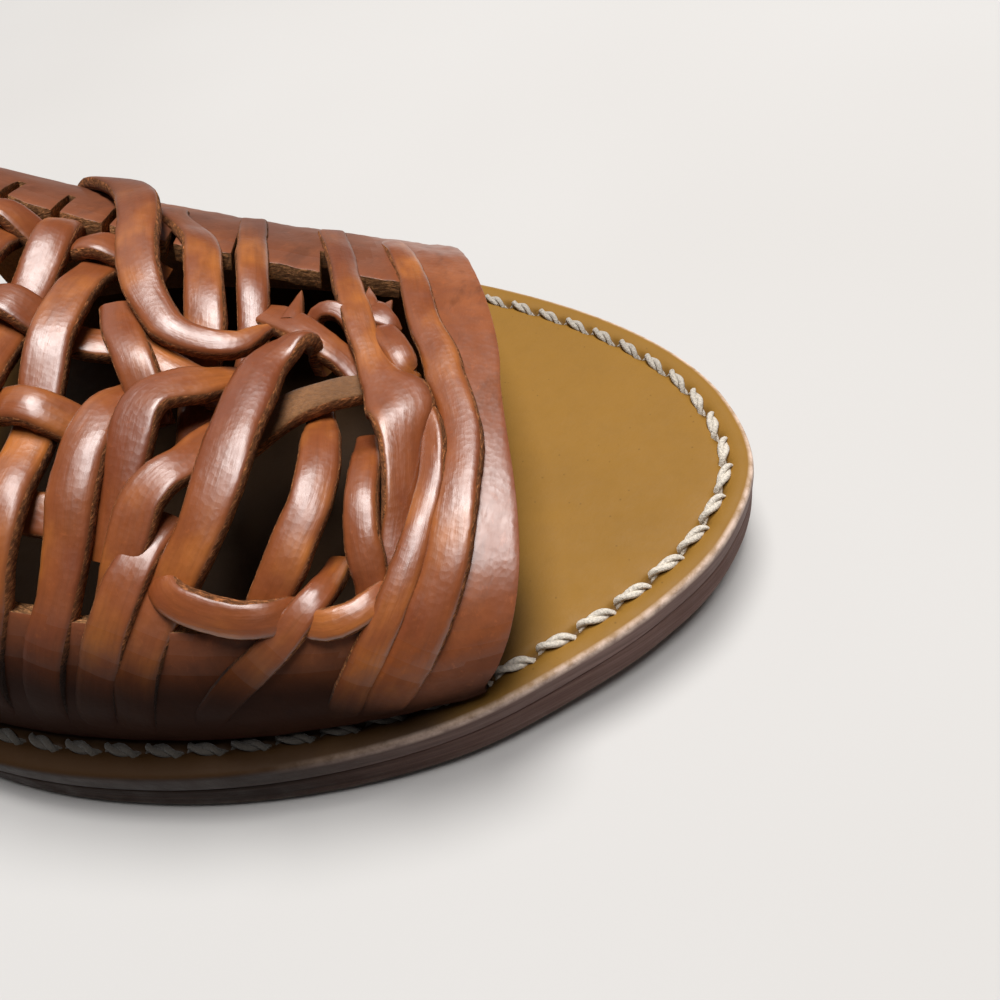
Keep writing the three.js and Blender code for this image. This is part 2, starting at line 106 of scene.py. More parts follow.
# ---- the woven strips ----------------------------------------------------------------------
# Each strip's route over the vamp: u runs from the front edge to the instep, v from the outer
# side over the foot to the inner side. height is over the middle of the wall and width is the
# strip's own, both in millimetres, and roll turns it about its own length, in degrees.
STRIP_COLUMNS = ("u", "v", "height", "width", "roll")
STRIPS = {
    "lap": [
        (0.152, 0.226, -2.2, 3.0, 0), (0.150, 0.240, 0.3, 3.2, 0), (0.140, 0.290, 1.0, 3.4, 0),
        (0.123, 0.374, 1.1, 3.5, 6),
        (0.112, 0.457, 1.4, 3.8, 12), (0.086, 0.499, 1.5, 4.1, 16), (0.069, 0.528, 1.5, 4.2, 16),
        (0.062, 0.573, 1.5, 4.2, 16), (0.071, 0.621, 1.5, 4.2, 14), (0.079, 0.665, 1.5, 4.3, 10),
        (0.087, 0.715, 1.4, 4.5, 6), (0.098, 0.769, 1.3, 4.6, 0), (0.112, 0.842, 1.1, 4.6, 0),
        (0.121, 0.910, 0.9, 4.6, 0), (0.124, 0.985, 0.2, 4.6, 0)],
    "outer_1": [
        (0.264, 0.218, -2.2, 3.4, 0), (0.261, 0.232, 0.3, 3.6, 0), (0.250, 0.285, 1.0, 3.7, 0),
        (0.233, 0.361, 1.0, 3.7, -10),
        (0.220, 0.425, 1.4, 3.6, -6), (0.209, 0.456, 1.6, 3.6, 0), (0.198, 0.482, 1.6, 3.6, 0),
        (0.180, 0.502, 1.7, 3.8, 4), (0.163, 0.520, 1.9, 5.0, 6), (0.149, 0.533, 2.2, 7.0, 6),
        (0.141, 0.545, 2.3, 7.2, 2), (0.141, 0.560, 2.1, 5.8, -8), (0.142, 0.576, 1.7, 4.6, -16),
        (0.142, 0.593, 1.2, 4.0, -22), (0.143, 0.613, 0.7, 3.7, -26), (0.144, 0.640, 0.0, 3.6, -26),
        (0.147, 0.670, -0.7, 3.6, -16), (0.150, 0.720, -1.2, 3.6, 0)],
    "outer_2": [
        (0.398, 0.228, -2.2, 3.4, 0), (0.395, 0.242, 0.3, 3.5, 0), (0.386, 0.290, 0.9, 3.6, 0),
        (0.373, 0.362, 1.3, 3.7, -8),
        (0.361, 0.416, 1.5, 3.8, -8), (0.355, 0.443, 0.9, 3.7, 0), (0.351, 0.462, -0.2, 3.6, 0),
        (0.345, 0.490, -1.6, 3.6, 0), (0.335, 0.540, -2.6, 3.6, 0)],
    "outer_3": [
        (0.526, 0.262, -2.2, 3.2, 0), (0.521, 0.278, 0.3, 3.4, 0), (0.505, 0.324, 1.0, 3.6, 0),
        (0.480, 0.345, 1.1, 3.9, -12),
        (0.447, 0.384, 1.6, 4.2, -10), (0.425, 0.437, 1.9, 4.4, 0), (0.414, 0.466, 1.8, 4.5, 8),
        (0.406, 0.486, 0.9, 4.5, 14), (0.400, 0.506, -0.6, 4.4, 8), (0.392, 0.540, -2.0, 4.2, 0),
        (0.385, 0.590, -2.6, 4.2, 0)],
    "sweep": [
        (0.694, 0.214, -2.2, 4.4, 0), (0.684, 0.228, 0.6, 4.6, 0), (0.650, 0.258, 2.0, 4.6, 0),
        (0.590, 0.308, 3.2, 4.8, 10),
        (0.541, 0.378, 4.2, 5.0, 16), (0.518, 0.433, 4.3, 4.8, 16), (0.498, 0.470, 4.0, 4.6, 14),
        (0.478, 0.488, 3.6, 4.4, 10), (0.451, 0.500, 3.2, 4.0, 10), (0.420, 0.506, 2.9, 3.6, 14),
        (0.378, 0.507, 2.7, 3.3, 16), (0.344, 0.502, 2.5, 2.8, 12), (0.318, 0.489, 2.1, 1.2, 0)],
    "sweep_under": [
        (0.500, 0.500, 0.2, 3.8, 0), (0.455, 0.516, 0.9, 3.8, 0), (0.420, 0.525, 0.8, 3.8, 0),
        (0.385, 0.530, 0.4, 3.6, 0), (0.345, 0.535, -0.8, 3.6, 0)],
    "left_turn": [
        (0.520, 0.490, 0.8, 4.0, 0), (0.490, 0.512, 1.8, 4.2, 0), (0.468, 0.530, 1.8, 4.2, 10),
        (0.450, 0.548, 0.6, 4.0, 20), (0.435, 0.570, -1.2, 3.8, 20)],
    "tongue": [
        (0.352, 0.448, -1.2, 3.4, 0), (0.330, 0.458, -0.2, 3.8, 0), (0.306, 0.467, 0.6, 4.2, 0),
        (0.277, 0.478, 0.9, 4.2, 0), (0.249, 0.487, 0.5, 3.8, 0), (0.223, 0.493, -0.4, 3.4, 0),
        (0.200, 0.500, -1.4, 3.2, 0)],
    "tongue_tip": [
        (0.297, 0.470, 0.8, 3.0, 0), (0.293, 0.452, 0.9, 1.7, 0), (0.291, 0.436, 0.8, 0.9, 0),
        (0.290, 0.423, 0.5, 0.3, 0)],
    "crook": [
        (0.276, 0.462, -0.8, 1.8, 10), (0.263, 0.455, 0.8, 1.9, 20), (0.247, 0.453, 1.4, 2.0, 26),
        (0.232, 0.455, 1.4, 2.0, 24), (0.221, 0.460, 0.8, 1.9, 14), (0.214, 0.466, -0.4, 1.7, 0),
        (0.209, 0.474, -2.2, 1.5, 0)],
    "stub": [
        (0.186, 0.448, -0.8, 2.6, 0), (0.171, 0.474, 1.3, 3.0, 0), (0.159, 0.489, 2.0, 3.2, 4),
        (0.147, 0.498, 2.2, 3.2, 8), (0.138, 0.503, 1.9, 3.1, 8), (0.133, 0.504, 1.0, 2.9, 4),
        (0.131, 0.501, -0.4, 2.4, 0), (0.133, 0.496, -1.8, 2.0, 0)],
    "outer_1_flap": [
        (0.228, 0.424, 0.4, 2.0, 0), (0.212, 0.438, 0.9, 4.0, 0), (0.197, 0.447, 1.2, 4.8, 0),
        (0.182, 0.454, 1.5, 4.1, 4), (0.169, 0.459, 1.4, 2.8, 8), (0.158, 0.462, 1.2, 1.8, 10),
        (0.148, 0.464, 0.9, 0.4, 10)],
    "outer_1_barb": [
        (0.178, 0.463, 1.3, 1.8, 0), (0.171, 0.450, 1.5, 1.5, 0), (0.166, 0.439, 1.4, 1.0, 0),
        (0.161, 0.427, 1.1, 0.3, 0)],
    "outer_1_tooth": [
        (0.192, 0.452, 1.2, 2.0, 0), (0.191, 0.438, 1.5, 1.7, 0), (0.192, 0.424, 1.3, 1.1, 0),
        (0.193, 0.407, 1.0, 0.3, 0)],
    "hook": [
        (0.190, 0.488, 0.0, 3.0, 0), (0.166, 0.512, 0.6, 3.0, 0), (0.133, 0.530, 1.2, 2.8, 10),
        (0.109, 0.548, 1.5, 2.8, 24), (0.100, 0.572, 1.3, 2.8, 30), (0.104, 0.613, 1.2, 2.8, 20),
        (0.115, 0.652, 1.2, 2.8, 10), (0.125, 0.688, 1.3, 3.0, 0), (0.138, 0.738, 1.3, 3.2, 0),
        (0.156, 0.816, 1.2, 3.4, 0), (0.166, 0.885, 0.9, 3.5, 0), (0.170, 0.985, 0.1, 3.5, 0)],
    "diagonal": [
        (0.252, 0.492, -2.4, 2.0, 0), (0.257, 0.491, -0.4, 2.3, 10), (0.263, 0.491, 1.3, 2.6, 20),
        (0.271, 0.494, 2.4, 2.8, 26), (0.279, 0.498, 2.7, 3.1, 22), (0.287, 0.501, 2.5, 3.5, 14),
        (0.297, 0.506, 2.4, 4.1, 6), (0.310, 0.519, 2.6, 4.8, 4), (0.319, 0.544, 2.8, 5.3, 8),
        (0.326, 0.568, 2.9, 5.5, 10), (0.331, 0.594, 2.9, 5.5, 10), (0.335, 0.616, 2.8, 5.3, 8),
        (0.341, 0.644, 2.5, 5.0, 4), (0.351, 0.675, 1.9, 4.7, 0), (0.366, 0.712, 1.1, 4.6, 0),
        (0.378, 0.741, 0.4, 4.4, 0), (0.388, 0.779, 0.5, 4.2, 0), (0.395, 0.835, 1.0, 4.2, 0),
        (0.398, 0.900, 0.8, 4.2, 0), (0.400, 0.985, 0.1, 4.2, 0)],
    "flesh_side": [
        (0.355, 0.585, -2.6, 3.6, 180), (0.330, 0.566, -1.9, 3.8, 180), (0.308, 0.549, -1.4, 4.0, 180),
        (0.281, 0.534, -1.1, 4.2, 175), (0.249, 0.522, -0.9, 4.2, 170), (0.217, 0.512, -1.0, 4.0, 175),
        (0.184, 0.503, -1.5, 3.6, 180), (0.160, 0.498, -2.2, 3.4, 180)],
    "inner_1": [
        (0.254, 0.505, -5.0, 3.0, 0), (0.243, 0.545, -2.0, 3.6, 0), (0.238, 0.571, 0.0, 4.1, 0),
        (0.236, 0.602, 1.1, 4.2, -6), (0.241, 0.641, 1.3, 4.2, -10), (0.253, 0.674, 1.1, 4.3, -6),
        (0.264, 0.709, 0.6, 4.4, 0), (0.274, 0.738, -0.2, 4.2, 0), (0.283, 0.775, -0.9, 4.0, 0),
        (0.290, 0.830, -1.2, 4.0, 0)],
    "inner_2": [
        (0.190, 0.535, -5.0, 2.4, 0), (0.187, 0.562, -2.6, 2.7, 0), (0.185, 0.589, -0.2, 3.0, 0),
        (0.186, 0.628, 1.1, 3.3, 6), (0.184, 0.671, 1.1, 3.6, 8), (0.178, 0.700, 0.6, 3.6, 0),
        (0.171, 0.729, -0.2, 3.2, 0), (0.168, 0.765, -1.0, 3.0, 0)],
    "inner_3": [
        (0.217, 0.690, -4.5, 2.4, 0), (0.218, 0.715, -1.8, 2.7, 0), (0.222, 0.738, 0.7, 3.0, 0),
        (0.233, 0.762, 1.5, 3.2, 6), (0.251, 0.797, 1.5, 3.3, 6), (0.273, 0.833, 1.2, 3.4, 0),
        (0.292, 0.868, 0.9, 3.4, 0), (0.310, 0.925, 0.5, 3.4, 0), (0.322, 0.985, 0.0, 3.4, 0)],
    "bridge": [
        (0.402, 0.716, -1.8, 3.0, 0), (0.388, 0.734, 0.4, 3.2, 0), (0.368, 0.750, 1.8, 3.4, 4),
        (0.330, 0.762, 2.4, 3.5, 10), (0.291, 0.769, 2.5, 3.5, 10), (0.266, 0.768, 2.0, 3.3, 6),
        (0.251, 0.762, 0.6, 2.9, 0), (0.243, 0.754, -1.6, 2.6, 0)],
    "bridge_short": [
        (0.142, 0.733, -1.8, 2.6, 0), (0.158, 0.749, 0.6, 2.8, 0), (0.183, 0.770, 1.8, 3.0, 6),
        (0.207, 0.778, 1.9, 3.0, 6), (0.228, 0.774, 0.9, 2.7, 0), (0.243, 0.764, -1.2, 2.4, 0)],
    "block_1": [
        (0.336, 0.513, -0.8, 3.6, 0), (0.354, 0.522, 0.4, 3.7, 0), (0.369, 0.531, 1.3, 3.9, 0),
        (0.382, 0.538, 1.9, 4.3, 0), (0.406, 0.548, 2.4, 4.8, 6), (0.429, 0.561, 2.6, 4.8, 10),
        (0.442, 0.580, 2.4, 4.6, 10), (0.446, 0.603, 1.9, 4.4, 4), (0.450, 0.630, 1.0, 4.2, 0),
        (0.456, 0.670, -0.4, 4.2, 0), (0.462, 0.720, -1.4, 4.0, 0)],
    "block_2": [
        (0.356, 0.560, -1.4, 3.6, 0), (0.369, 0.584, 0.0, 3.8, 0), (0.383, 0.612, 1.2, 4.0, 0),
        (0.401, 0.631, 1.8, 4.4, 6), (0.418, 0.655, 1.8, 4.4, 6), (0.428, 0.690, 1.2, 4.2, 0),
        (0.434, 0.722, 0.5, 4.0, 0), (0.440, 0.770, -0.6, 4.0, 0), (0.444, 0.840, -1.4, 4.0, 0)],
    "block_3": [
        (0.398, 0.662, -1.0, 3.4, 0), (0.408, 0.690, 0.1, 3.6, 0), (0.418, 0.718, 0.9, 3.8, 0),
        (0.426, 0.750, 1.2, 4.0, 0), (0.432, 0.790, 1.2, 4.0, 0), (0.438, 0.840, 1.0, 4.0, 0),
        (0.442, 0.900, 0.8, 4.0, 0), (0.444, 0.985, 0.1, 4.0, 0)],
    "block_4": [
        (0.470, 0.545, -1.0, 3.8, 0), (0.486, 0.572, 0.8, 4.2, 0), (0.496, 0.610, 1.7, 4.6, 4),
        (0.500, 0.655, 1.6, 4.6, 0), (0.500, 0.710, 0.6, 4.4, 0), (0.500, 0.770, 0.6, 4.2, 0),
        (0.502, 0.830, 1.1, 4.2, 0), (0.504, 0.900, 0.8, 4.2, 0), (0.505, 0.985, 0.1, 4.2, 0)],
}

# Behind those the weave is plain: cross strips over and under strips that run along the foot.
BACK_CROSS = [0.575, 0.645, 0.715, 0.785, 0.85]
BACK_ALONG = [(0.43, 0.42), (0.51, 0.5), (0.6, 0.58), (0.69, 0.67)]
BACK_WIDTH = 4.4
BACK_OVER, BACK_UNDER = 1.5, -1.1  # heights at the crossings

FRONT_BAND = {"side": 0.16, "crown": 0.105}
OPENING = {"back": 0.89, "outer": 0.385, "inner": 0.79}
NOTCH_FRONT = FRONT_BAND["side"] - 0.02  # u from which the notches are measured
NOTCHES = [0.172, 0.283, 0.408, 0.506, 0.6, 0.672, 0.742, 0.812]  # cuts beside the outer strips


# ---- shared geometry -----------------------------------------------------------------------
def mix(a, b, t):
    return a + (b - a) * t


def clamp01(t):
    return min(1.0, max(0.0, t))


def smooth(t):
    t = clamp01(t)
    return t * t * (3 - 2 * t)


def rise(x, start, end):
    """Rises softly from 0 at start to 1 at end, which may be the lower of the two."""
    return smooth((x - start) / (end - start))


def bell(t, centre, width):
    return math.exp(-((t - centre) / width) ** 2)


def squarish(value, power):
    """A sine or cosine with raised shoulders, which makes a circle into a softened bar."""
    return math.copysign(abs(value) ** power, value)


def angle_at(k, count):
    """Angle of point k of count round a circle."""
    return 2 * math.pi * k / count


def column(rows, name, at):
    """Value of one column of a table, on a smooth curve through its rows."""
    last = len(rows) - 1
    i = 0
    while i < last - 1 and rows[i + 1]["at"] <= at:
        i += 1
    span = rows[i + 1]["at"] - rows[i]["at"]
    s = (at - rows[i]["at"]) / span

    def slope(a, b):
        return (rows[b][name] - rows[a][name]) / (rows[b]["at"] - rows[a]["at"]) * span

    m0 = slope(max(0, i - 1), i + 1)
    m1 = slope(i, min(last, i + 2))
    gain = rows[i + 1][name] - rows[i][name]
    return rows[i][name] + s * (m0 + s * (3 * gain - 2 * m0 - m1 + s * (m0 + m1 - 2 * gain)))


def knot_span(a, b):
    """Weight of the stretch between two points; its root keeps uneven points from looping."""
    return max((a - b).length ** 0.5, 1e-4)


def spline(p0, p1, p2, p3, w):
    """Point at w between p1 and p2 on a curve that passes evenly through all four."""
    d0, d1, d2 = knot_span(p0, p1), knot_span(p1, p2), knot_span(p2, p3)
    t1 = ((p1 - p0) / d0 - (p2 - p0) / (d0 + d1) + (p2 - p1) / d1) * d1
    t2 = ((p2 - p1) / d1 - (p3 - p1) / (d1 + d2) + (p3 - p2) / d2) * d1
    gain = p2 - p1
    return p1 + w * (t1 + w * (3 * gain - 2 * t1 - t2 + w * (t1 + t2 - 2 * gain)))


def closed_curve(points, steps):
    """Points on a smooth closed curve through the given ones."""
    n = len(points)
    made = []
    for k in range(steps):
        t = k / steps * n
        i = int(t)
        made.append(spline(*(points[(i + o) % n] for o in (-1, 0, 1, 2)), t - i))
    return made


FINE_EDGE = closed_curve([Vector((x, y, 0)) for x, y in OUTER_EDGE + INNER_EDGE], FINE_STEPS)
TOE_INDEX = max(range(len(FINE_EDGE)), key=lambda i: FINE_EDGE[i].x)
OUTER_SIDE = FINE_EDGE[:TOE_INDEX + 1]
INNER_SIDE = FINE_EDGE[TOE_INDEX:]


def arc_lengths(points):
    """Length along a closed line up to each of its points, and all the way round."""
    total = [0.0]
    for a, b in zip(points, points[1:] + points[:1]):
        total.append(total[-1] + (b - a).length)
    return total


EDGE_ARC = arc_lengths(FINE_EDGE)
EDGE_LENGTH = EDGE_ARC[-1]


def edge_at(share):
    """Point on the sole's outline and its direction inward, at a share of the way round."""
    want = (share % 1.0) * EDGE_LENGTH
    low, high = 0, len(FINE_EDGE)
    while high - low > 1:
        middle = (low + high) // 2
        low, high = (middle, high) if EDGE_ARC[middle] <= want else (low, middle)
    a = FINE_EDGE[low]
    b = FINE_EDGE[(low + 1) % len(FINE_EDGE)]
    along = (b - a).normalized()
    return a.lerp(b, (want - EDGE_ARC[low]) / (b - a).length), Vector((along.y, -along.x, 0))


def edge_y(x, side):
    """y of the sole's edge at x on the outer (1) or inner (-1) side."""
    points = OUTER_SIDE if side > 0 else INNER_SIDE
    low, high = 0, len(points) - 1
    while high - low > 1:
        middle = (low + high) // 2
        short = points[middle].x < x
        low, high = (middle, high) if short == (side > 0) else (low, middle)
    a, b = points[low], points[high]
    return mix(a.y, b.y, clamp01((x - a.x) / (b.x - a.x)))


def tread_z(x):
    """Height of the outsole's underside."""
    shank = HEEL_RISE * (1 - rise(x, HEEL_BREAST_X, SHANK_END_X))
    return shank + TOE_SPRING * clamp01((x - SPRING_START_X) / (TOE_X - SPRING_START_X)) ** 2


def insole_top(x):
    """Height of the insole's upper face."""
    return tread_z(x) + OUTSOLE_THICK + GAP + INSOLE_THICK


def vamp_point(u, v):
    """Point on the middle of the vamp's wall."""
    v = clamp01(v)
    outer_x, inner_x, bow, height, lean = (column(VAMP, name, u) for name in VAMP_COLUMNS[1:])
    up = max(0.0, math.sin(math.pi * v))
    out = math.cos(math.pi * v)
    foot_x = mix(outer_x, inner_x, v)
    x = foot_x + bow * max(0.0, math.sin(math.pi * v ** BOW_SKEW)) ** BOW_POWER
    outer_y = edge_y(outer_x, 1) - lean
    inner_y = edge_y(inner_x, -1) + lean
    reach = (outer_y - inner_y) / 2 * squarish(out, SQUARENESS)
    y = (outer_y + inner_y) / 2 + reach - CREST_SKEW * up
    return Vector((x, y, insole_top(foot_x) + FOOT_RISE + (height - FOOT_RISE) * up ** SQUARENESS))


NORMAL_STEP = 0.004  # of u and v, to either side of a place
NORMAL_MARGIN = 0.015  # v this near a foot has the normal of the wall just above


def vamp_normal(u, v):
    v = min(1 - NORMAL_MARGIN, max(NORMAL_MARGIN, v))
    along = vamp_point(u + NORMAL_STEP, v) - vamp_point(u - NORMAL_STEP, v)
    across = vamp_point(u, v + NORMAL_STEP) - vamp_point(u, v - NORMAL_STEP)
    return along.cross(across).normalized()


def vamp_at(u, v, height):
    return vamp_point(u, v) + vamp_normal(u, v) * height


# ---- mesh helpers --------------------------------------------------------------------------
def frame_shift():
    """From the tables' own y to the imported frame's y."""
    low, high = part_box("outsole")
    ys = [p.y for p in FINE_EDGE]
    return (low.y + high.y) / 2 / MM - (min(ys) + max(ys)) / 2


SHIFT_Y = frame_shift()


def finish_piece(bm, name, materials, replaces=(), sharp=50):
    """Turns a bmesh in millimetres into a finished piece that rides on the sandal's body."""
    place = Matrix.Scale(MM, 4) @ Matrix.Translation((0, SHIFT_Y, 0))
    bmesh.ops.transform(bm, matrix=place, verts=bm.verts)
    mesh = bpy.data.meshes.new(name)
    bm.to_mesh(mesh)
    bm.free()
    for polygon in mesh.polygons:
        polygon.use_smooth = True
    mesh.set_sharp_from_angle(angle=math.radians(sharp))
    for material in materials:
        mesh.materials.append(material)
    piece = bpy.data.objects.new(name, mesh)
    bpy.context.scene.collection.objects.link(piece)
    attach(piece, "root")
    for node in replaces:
        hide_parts(node)
    return piece


def extruded_rings(bm, rings):
    """Rings of the same count, joined one to the next by extruding, and closed at both ends."""
    station = bm.verts.layers.int.get("station") or bm.verts.layers.int.new("station")
    row = bm.verts.layers.int.get("row") or bm.verts.layers.int.new("row")
    before = set(bm.faces)
    verts = bmesh.ops.create_circle(bm, cap_ends=False, segments=len(rings[0]), radius=1)["verts"]
    for k, vert in enumerate(verts):
        vert[station] = k
        vert.co = rings[0][k]
    edges = list({edge for vert in verts for edge in vert.link_edges})
    first = edges
    for index, ring in enumerate(rings[1:], start=1):
        made = bmesh.ops.extrude_edge_only(bm, edges=edges)["geom"]
        edges = [g for g in made if isinstance(g, bmesh.types.BMEdge)]
        for vert in (g for g in made if isinstance(g, bmesh.types.BMVert)):
            vert.co = ring[vert[station]]
            vert[row] = index
    for loop in (first, edges):
        cap = bmesh.ops.contextual_create(bm, geom=loop)["faces"]
        bmesh.ops.triangulate(bm, faces=cap, quad_method="BEAUTY", ngon_method="BEAUTY")
    made = [face for face in bm.faces if face not in before]
    bmesh.ops.recalc_face_normals(bm, faces=made)
    return made


def wavy(*place):
    """A smooth, repeatable unevenness between about -1 and 1."""
    return noise.noise(Vector(place))


# ---- node helpers --------------------------------------------------------------------------
def srgb(red, green, blue):
    def linear(c):
        c /= 255
        return c / 12.92 if c <= 0.04045 else ((c + 0.055) / 1.055) ** 2.4
    return (linear(red), linear(green), linear(blue), 1.0)


class Nodes:
    """A material's node tree, with short ways to add what the finishes share."""

    def __init__(self, name):
        self.material = bpy.data.materials.new(name)
        self.material.use_nodes = True
        self.tree = self.material.node_tree
        self.shader = self.tree.nodes["Principled BSDF"]
        self.place = self.add("ShaderNodeTexCoord").outputs["Object"]

    def add(self, kind, **values):
        node = self.tree.nodes.new(kind)
        for key, value in values.items():
            setattr(node, key, value)
        return node

    def link(self, source, target):
        self.tree.links.new(source, target)

    def noise(self, scale, detail=4, rough=0.6, stretch=None, source=None):
        node = self.add("ShaderNodeTexNoise")
        node.inputs["Scale"].default_value = scale
        node.inputs["Detail"].default_value = detail
        node.inputs["Roughness"].default_value = rough
        self.link(self.stretched(stretch, source), node.inputs["Vector"])
        return node.outputs["Fac"]

    def cells(self, scale):
        node = self.add("ShaderNodeTexVoronoi", feature="F1")
        node.inputs["Scale"].default_value = scale
        self.link(self.place, node.inputs["Vector"])
        return node.outputs["Distance"]

    def stretched(self, stretch, source):
        source = source or self.place
        if not stretch:
            return source
        node = self.add("ShaderNodeMapping")
        node.inputs["Scale"].default_value = stretch
        self.link(source, node.inputs["Vector"])
        return node.outputs["Vector"]

    def attribute(self, name):
        return self.add("ShaderNodeAttribute", attribute_name=name).outputs["Fac"]

    def ramp(self, value, *stops):
        node = self.add("ShaderNodeValToRGB")
        bands = node.color_ramp.elements
        for index, (position, colour) in enumerate(stops):
            band = bands[index] if index < 2 else bands.new(position)
            band.position = position
            band.color = colour if not isinstance(colour, float) else (colour, colour, colour, 1)
        self.link(value, node.inputs["Fac"])
        return node.outputs["Color"]

    def feed(self, socket, value):
        """Links another node's output to a socket, or sets a plain value on it."""
        if isinstance(value, bpy.types.NodeSocket):
            self.link(value, socket)
        else:
            socket.default_value = value

    def blend(self, share, low, high):
        node = self.add("ShaderNodeMix", data_type="RGBA", blend_type="MIX")
        for key, value in (("Factor", share), ("A", low), ("B", high)):
            self.feed(node.inputs[key], value)
        return node.outputs["Result"]

    def over(self, tone, colour, mask, *stops):
        """Lays a colour over a tone, as strongly as the ramp over the mask says."""
        return self.blend(self.ramp(mask, *stops), tone, colour)

    def maths(self, how, *values):
        node = self.add("ShaderNodeMath", operation=how)
        for socket, value in zip(node.inputs, values):
            self.feed(socket, value)
        return node.outputs["Value"]

    def bump(self, height, distance, strength=1.0, under=None):
        node = self.add("ShaderNodeBump")
        node.inputs["Strength"].default_value = strength
        node.inputs["Distance"].default_value = distance
        self.link(height, node.inputs["Height"])
        if under:
            self.link(under, node.inputs["Normal"])
        return node.outputs["Normal"]

    def finish(self, colour, rough, normal=None, **fixed):
        self.link(colour, self.shader.inputs["Base Color"])
        self.link(rough, self.shader.inputs["Roughness"])
        if normal:
            self.link(normal, self.shader.inputs["Normal"])
        for key, value in fixed.items():
            self.shader.inputs[key.replace("_", " ")].default_value = value
        return self.material


def scaled(colour, factor):
    return tuple(c * factor for c in colour[:3]) + (1.0,)


def mixed(first, second, share):
    return tuple(mix(a, b, share) for a, b in zip(first[:3], second[:3])) + (1.0,)


def shade_colour(colour):
    """Near-black brown painted as shade on the leather towards the sole."""
    return mixed(scaled(colour, 0.05), srgb(30, 11, 4), 0.7)


DULL = (0.95, 0.95, 0.95, 1.0)  # the roughness where the painted shade is deepest
SHADE_SHARE = 0.96  # of the painted shade colour, where the painted shade is deepest
GLOSS = (1.0, 0.62, 0.34, 0.12)  # how glossy the leather stays, from polished to dull on the shaded side


def gloss_step(face, layer):
    """Which of the GLOSS steps a face has, with an uneven boundary from one to the next."""
    dimmed = sum(vert[layer] for vert in face.verts) / len(face.verts)
    uneven = 0.07 * wavy(*(c * 0.16 for c in face.calc_center_median()))
    return min(len(GLOSS) - 1, int(len(GLOSS) * clamp01(dimmed + uneven)))


def darken_with_shade(n, tone, rough, colour):
    """A leather's tone and roughness, darkened with painted shade and made dull towards the sole."""
    dimmed = n.attribute("painted_shade")
    # Painted shade: the tone darkens to near-black brown towards the sole.
    tone = n.over(tone, shade_colour(colour), dimmed, (0.0, 0.0), (1.0, SHADE_SHARE))
    return tone, n.blend(dimmed, rough, DULL)


def strip_leather(colour, gloss):
    """Polished leather of the strips: tone drifts along each strip, the edges are darker, and painted
    shade darkens it towards the sole.
    """
    n = Nodes("strip_leather")
    across = n.attribute("across")
    joined = n.add("ShaderNodeCombineXYZ")
    for socket, source in zip("XYZ", (n.attribute("along"), across, n.attribute("strip"))):
        n.link(source, joined.inputs[socket])
    strip_place = joined.outputs["Vector"]
    drift = n.noise(1.0, 3, 0.5, stretch=(0.1, 0.35, 7.3), source=strip_place)
    grain = n.noise(1.0, 4, 0.6, stretch=(0.16, 3.2, 7.0), source=strip_place)
    red_brown = mixed(colour, srgb(108, 48, 24), 0.62)
    honey = mixed(colour, srgb(196, 118, 48), 0.6)
    tone = n.ramp(drift, (0.3, red_brown), (0.5, colour), (0.7, honey))
    tone = n.over(tone, scaled(colour, 0.5), grain, (0.42, 0.0), (0.75, 0.4))
    # Darker towards the strip's edges.
    tone = n.over(tone, scaled(colour, 0.35), n.maths("ABSOLUTE", across), (0.75, 0.0), (1.0, 0.55))
    tone = n.over(tone, scaled(colour, 1.7), n.noise(1500, 3, 0.7), (0.6, 0.0), (0.78, 0.3))
    rough = n.ramp(n.noise(420, 4), (0.3, 0.3), (0.7, 0.44))
    tone, rough = darken_with_shade(n, tone, rough, colour)
    normal = n.bump(n.cells(1500), 0.00006, 0.4)
    normal = n.bump(grain, 0.0001, 0.5, normal)
    normal = n.bump(n.noise(300, 4, 0.65), 0.00014, 0.25, normal)
    return n.finish(tone, rough, normal, Specular_IOR_Level=0.65 * gloss,
                    Coat_Weight=0.35 * gloss, Coat_Roughness=0.27)


def band_leather(colour, gloss, name="band_leather"):
    """Pebbled leather of the plain bands, darkened with painted shade towards the sole."""
    n = Nodes(name)
    fleck = n.noise(1300, 4, 0.75, stretch=(1.0, 0.35, 0.6))
    crease = n.noise(330, 4, 0.65, stretch=(1.0, 0.3, 0.5))
    red_brown = mixed(colour, srgb(110, 56, 34), 0.5)
    sandy = mixed(colour, srgb(186, 112, 66), 0.45)
    tone = n.ramp(n.noise(70, 4), (0.3, red_brown), (0.5, colour), (0.72, sandy))
    tone = n.over(tone, scaled(colour, 0.55), n.noise(700, 4, 0.7), (0.48, 0.0), (0.78, 0.45))
    tone = n.over(tone, scaled(colour, 2.0), fleck, (0.58, 0.0), (0.74, 0.4))
    # Painted shade in the crease hollows.
    tone = n.over(tone, scaled(colour, 0.45), crease, (0.34, 0.45), (0.46, 0.0))
    rough = n.ramp(n.noise(350, 4), (0.3, 0.3), (0.7, 0.46))
    tone, rough = darken_with_shade(n, tone, rough, colour)
    normal = n.bump(n.cells(1400), 0.00006, 0.4)
    normal = n.bump(crease, 0.00022, 0.4, normal)
    return n.finish(tone, rough, normal, Specular_IOR_Level=0.55 * gloss,
                    Coat_Weight=0.3 * gloss, Coat_Roughness=0.3)


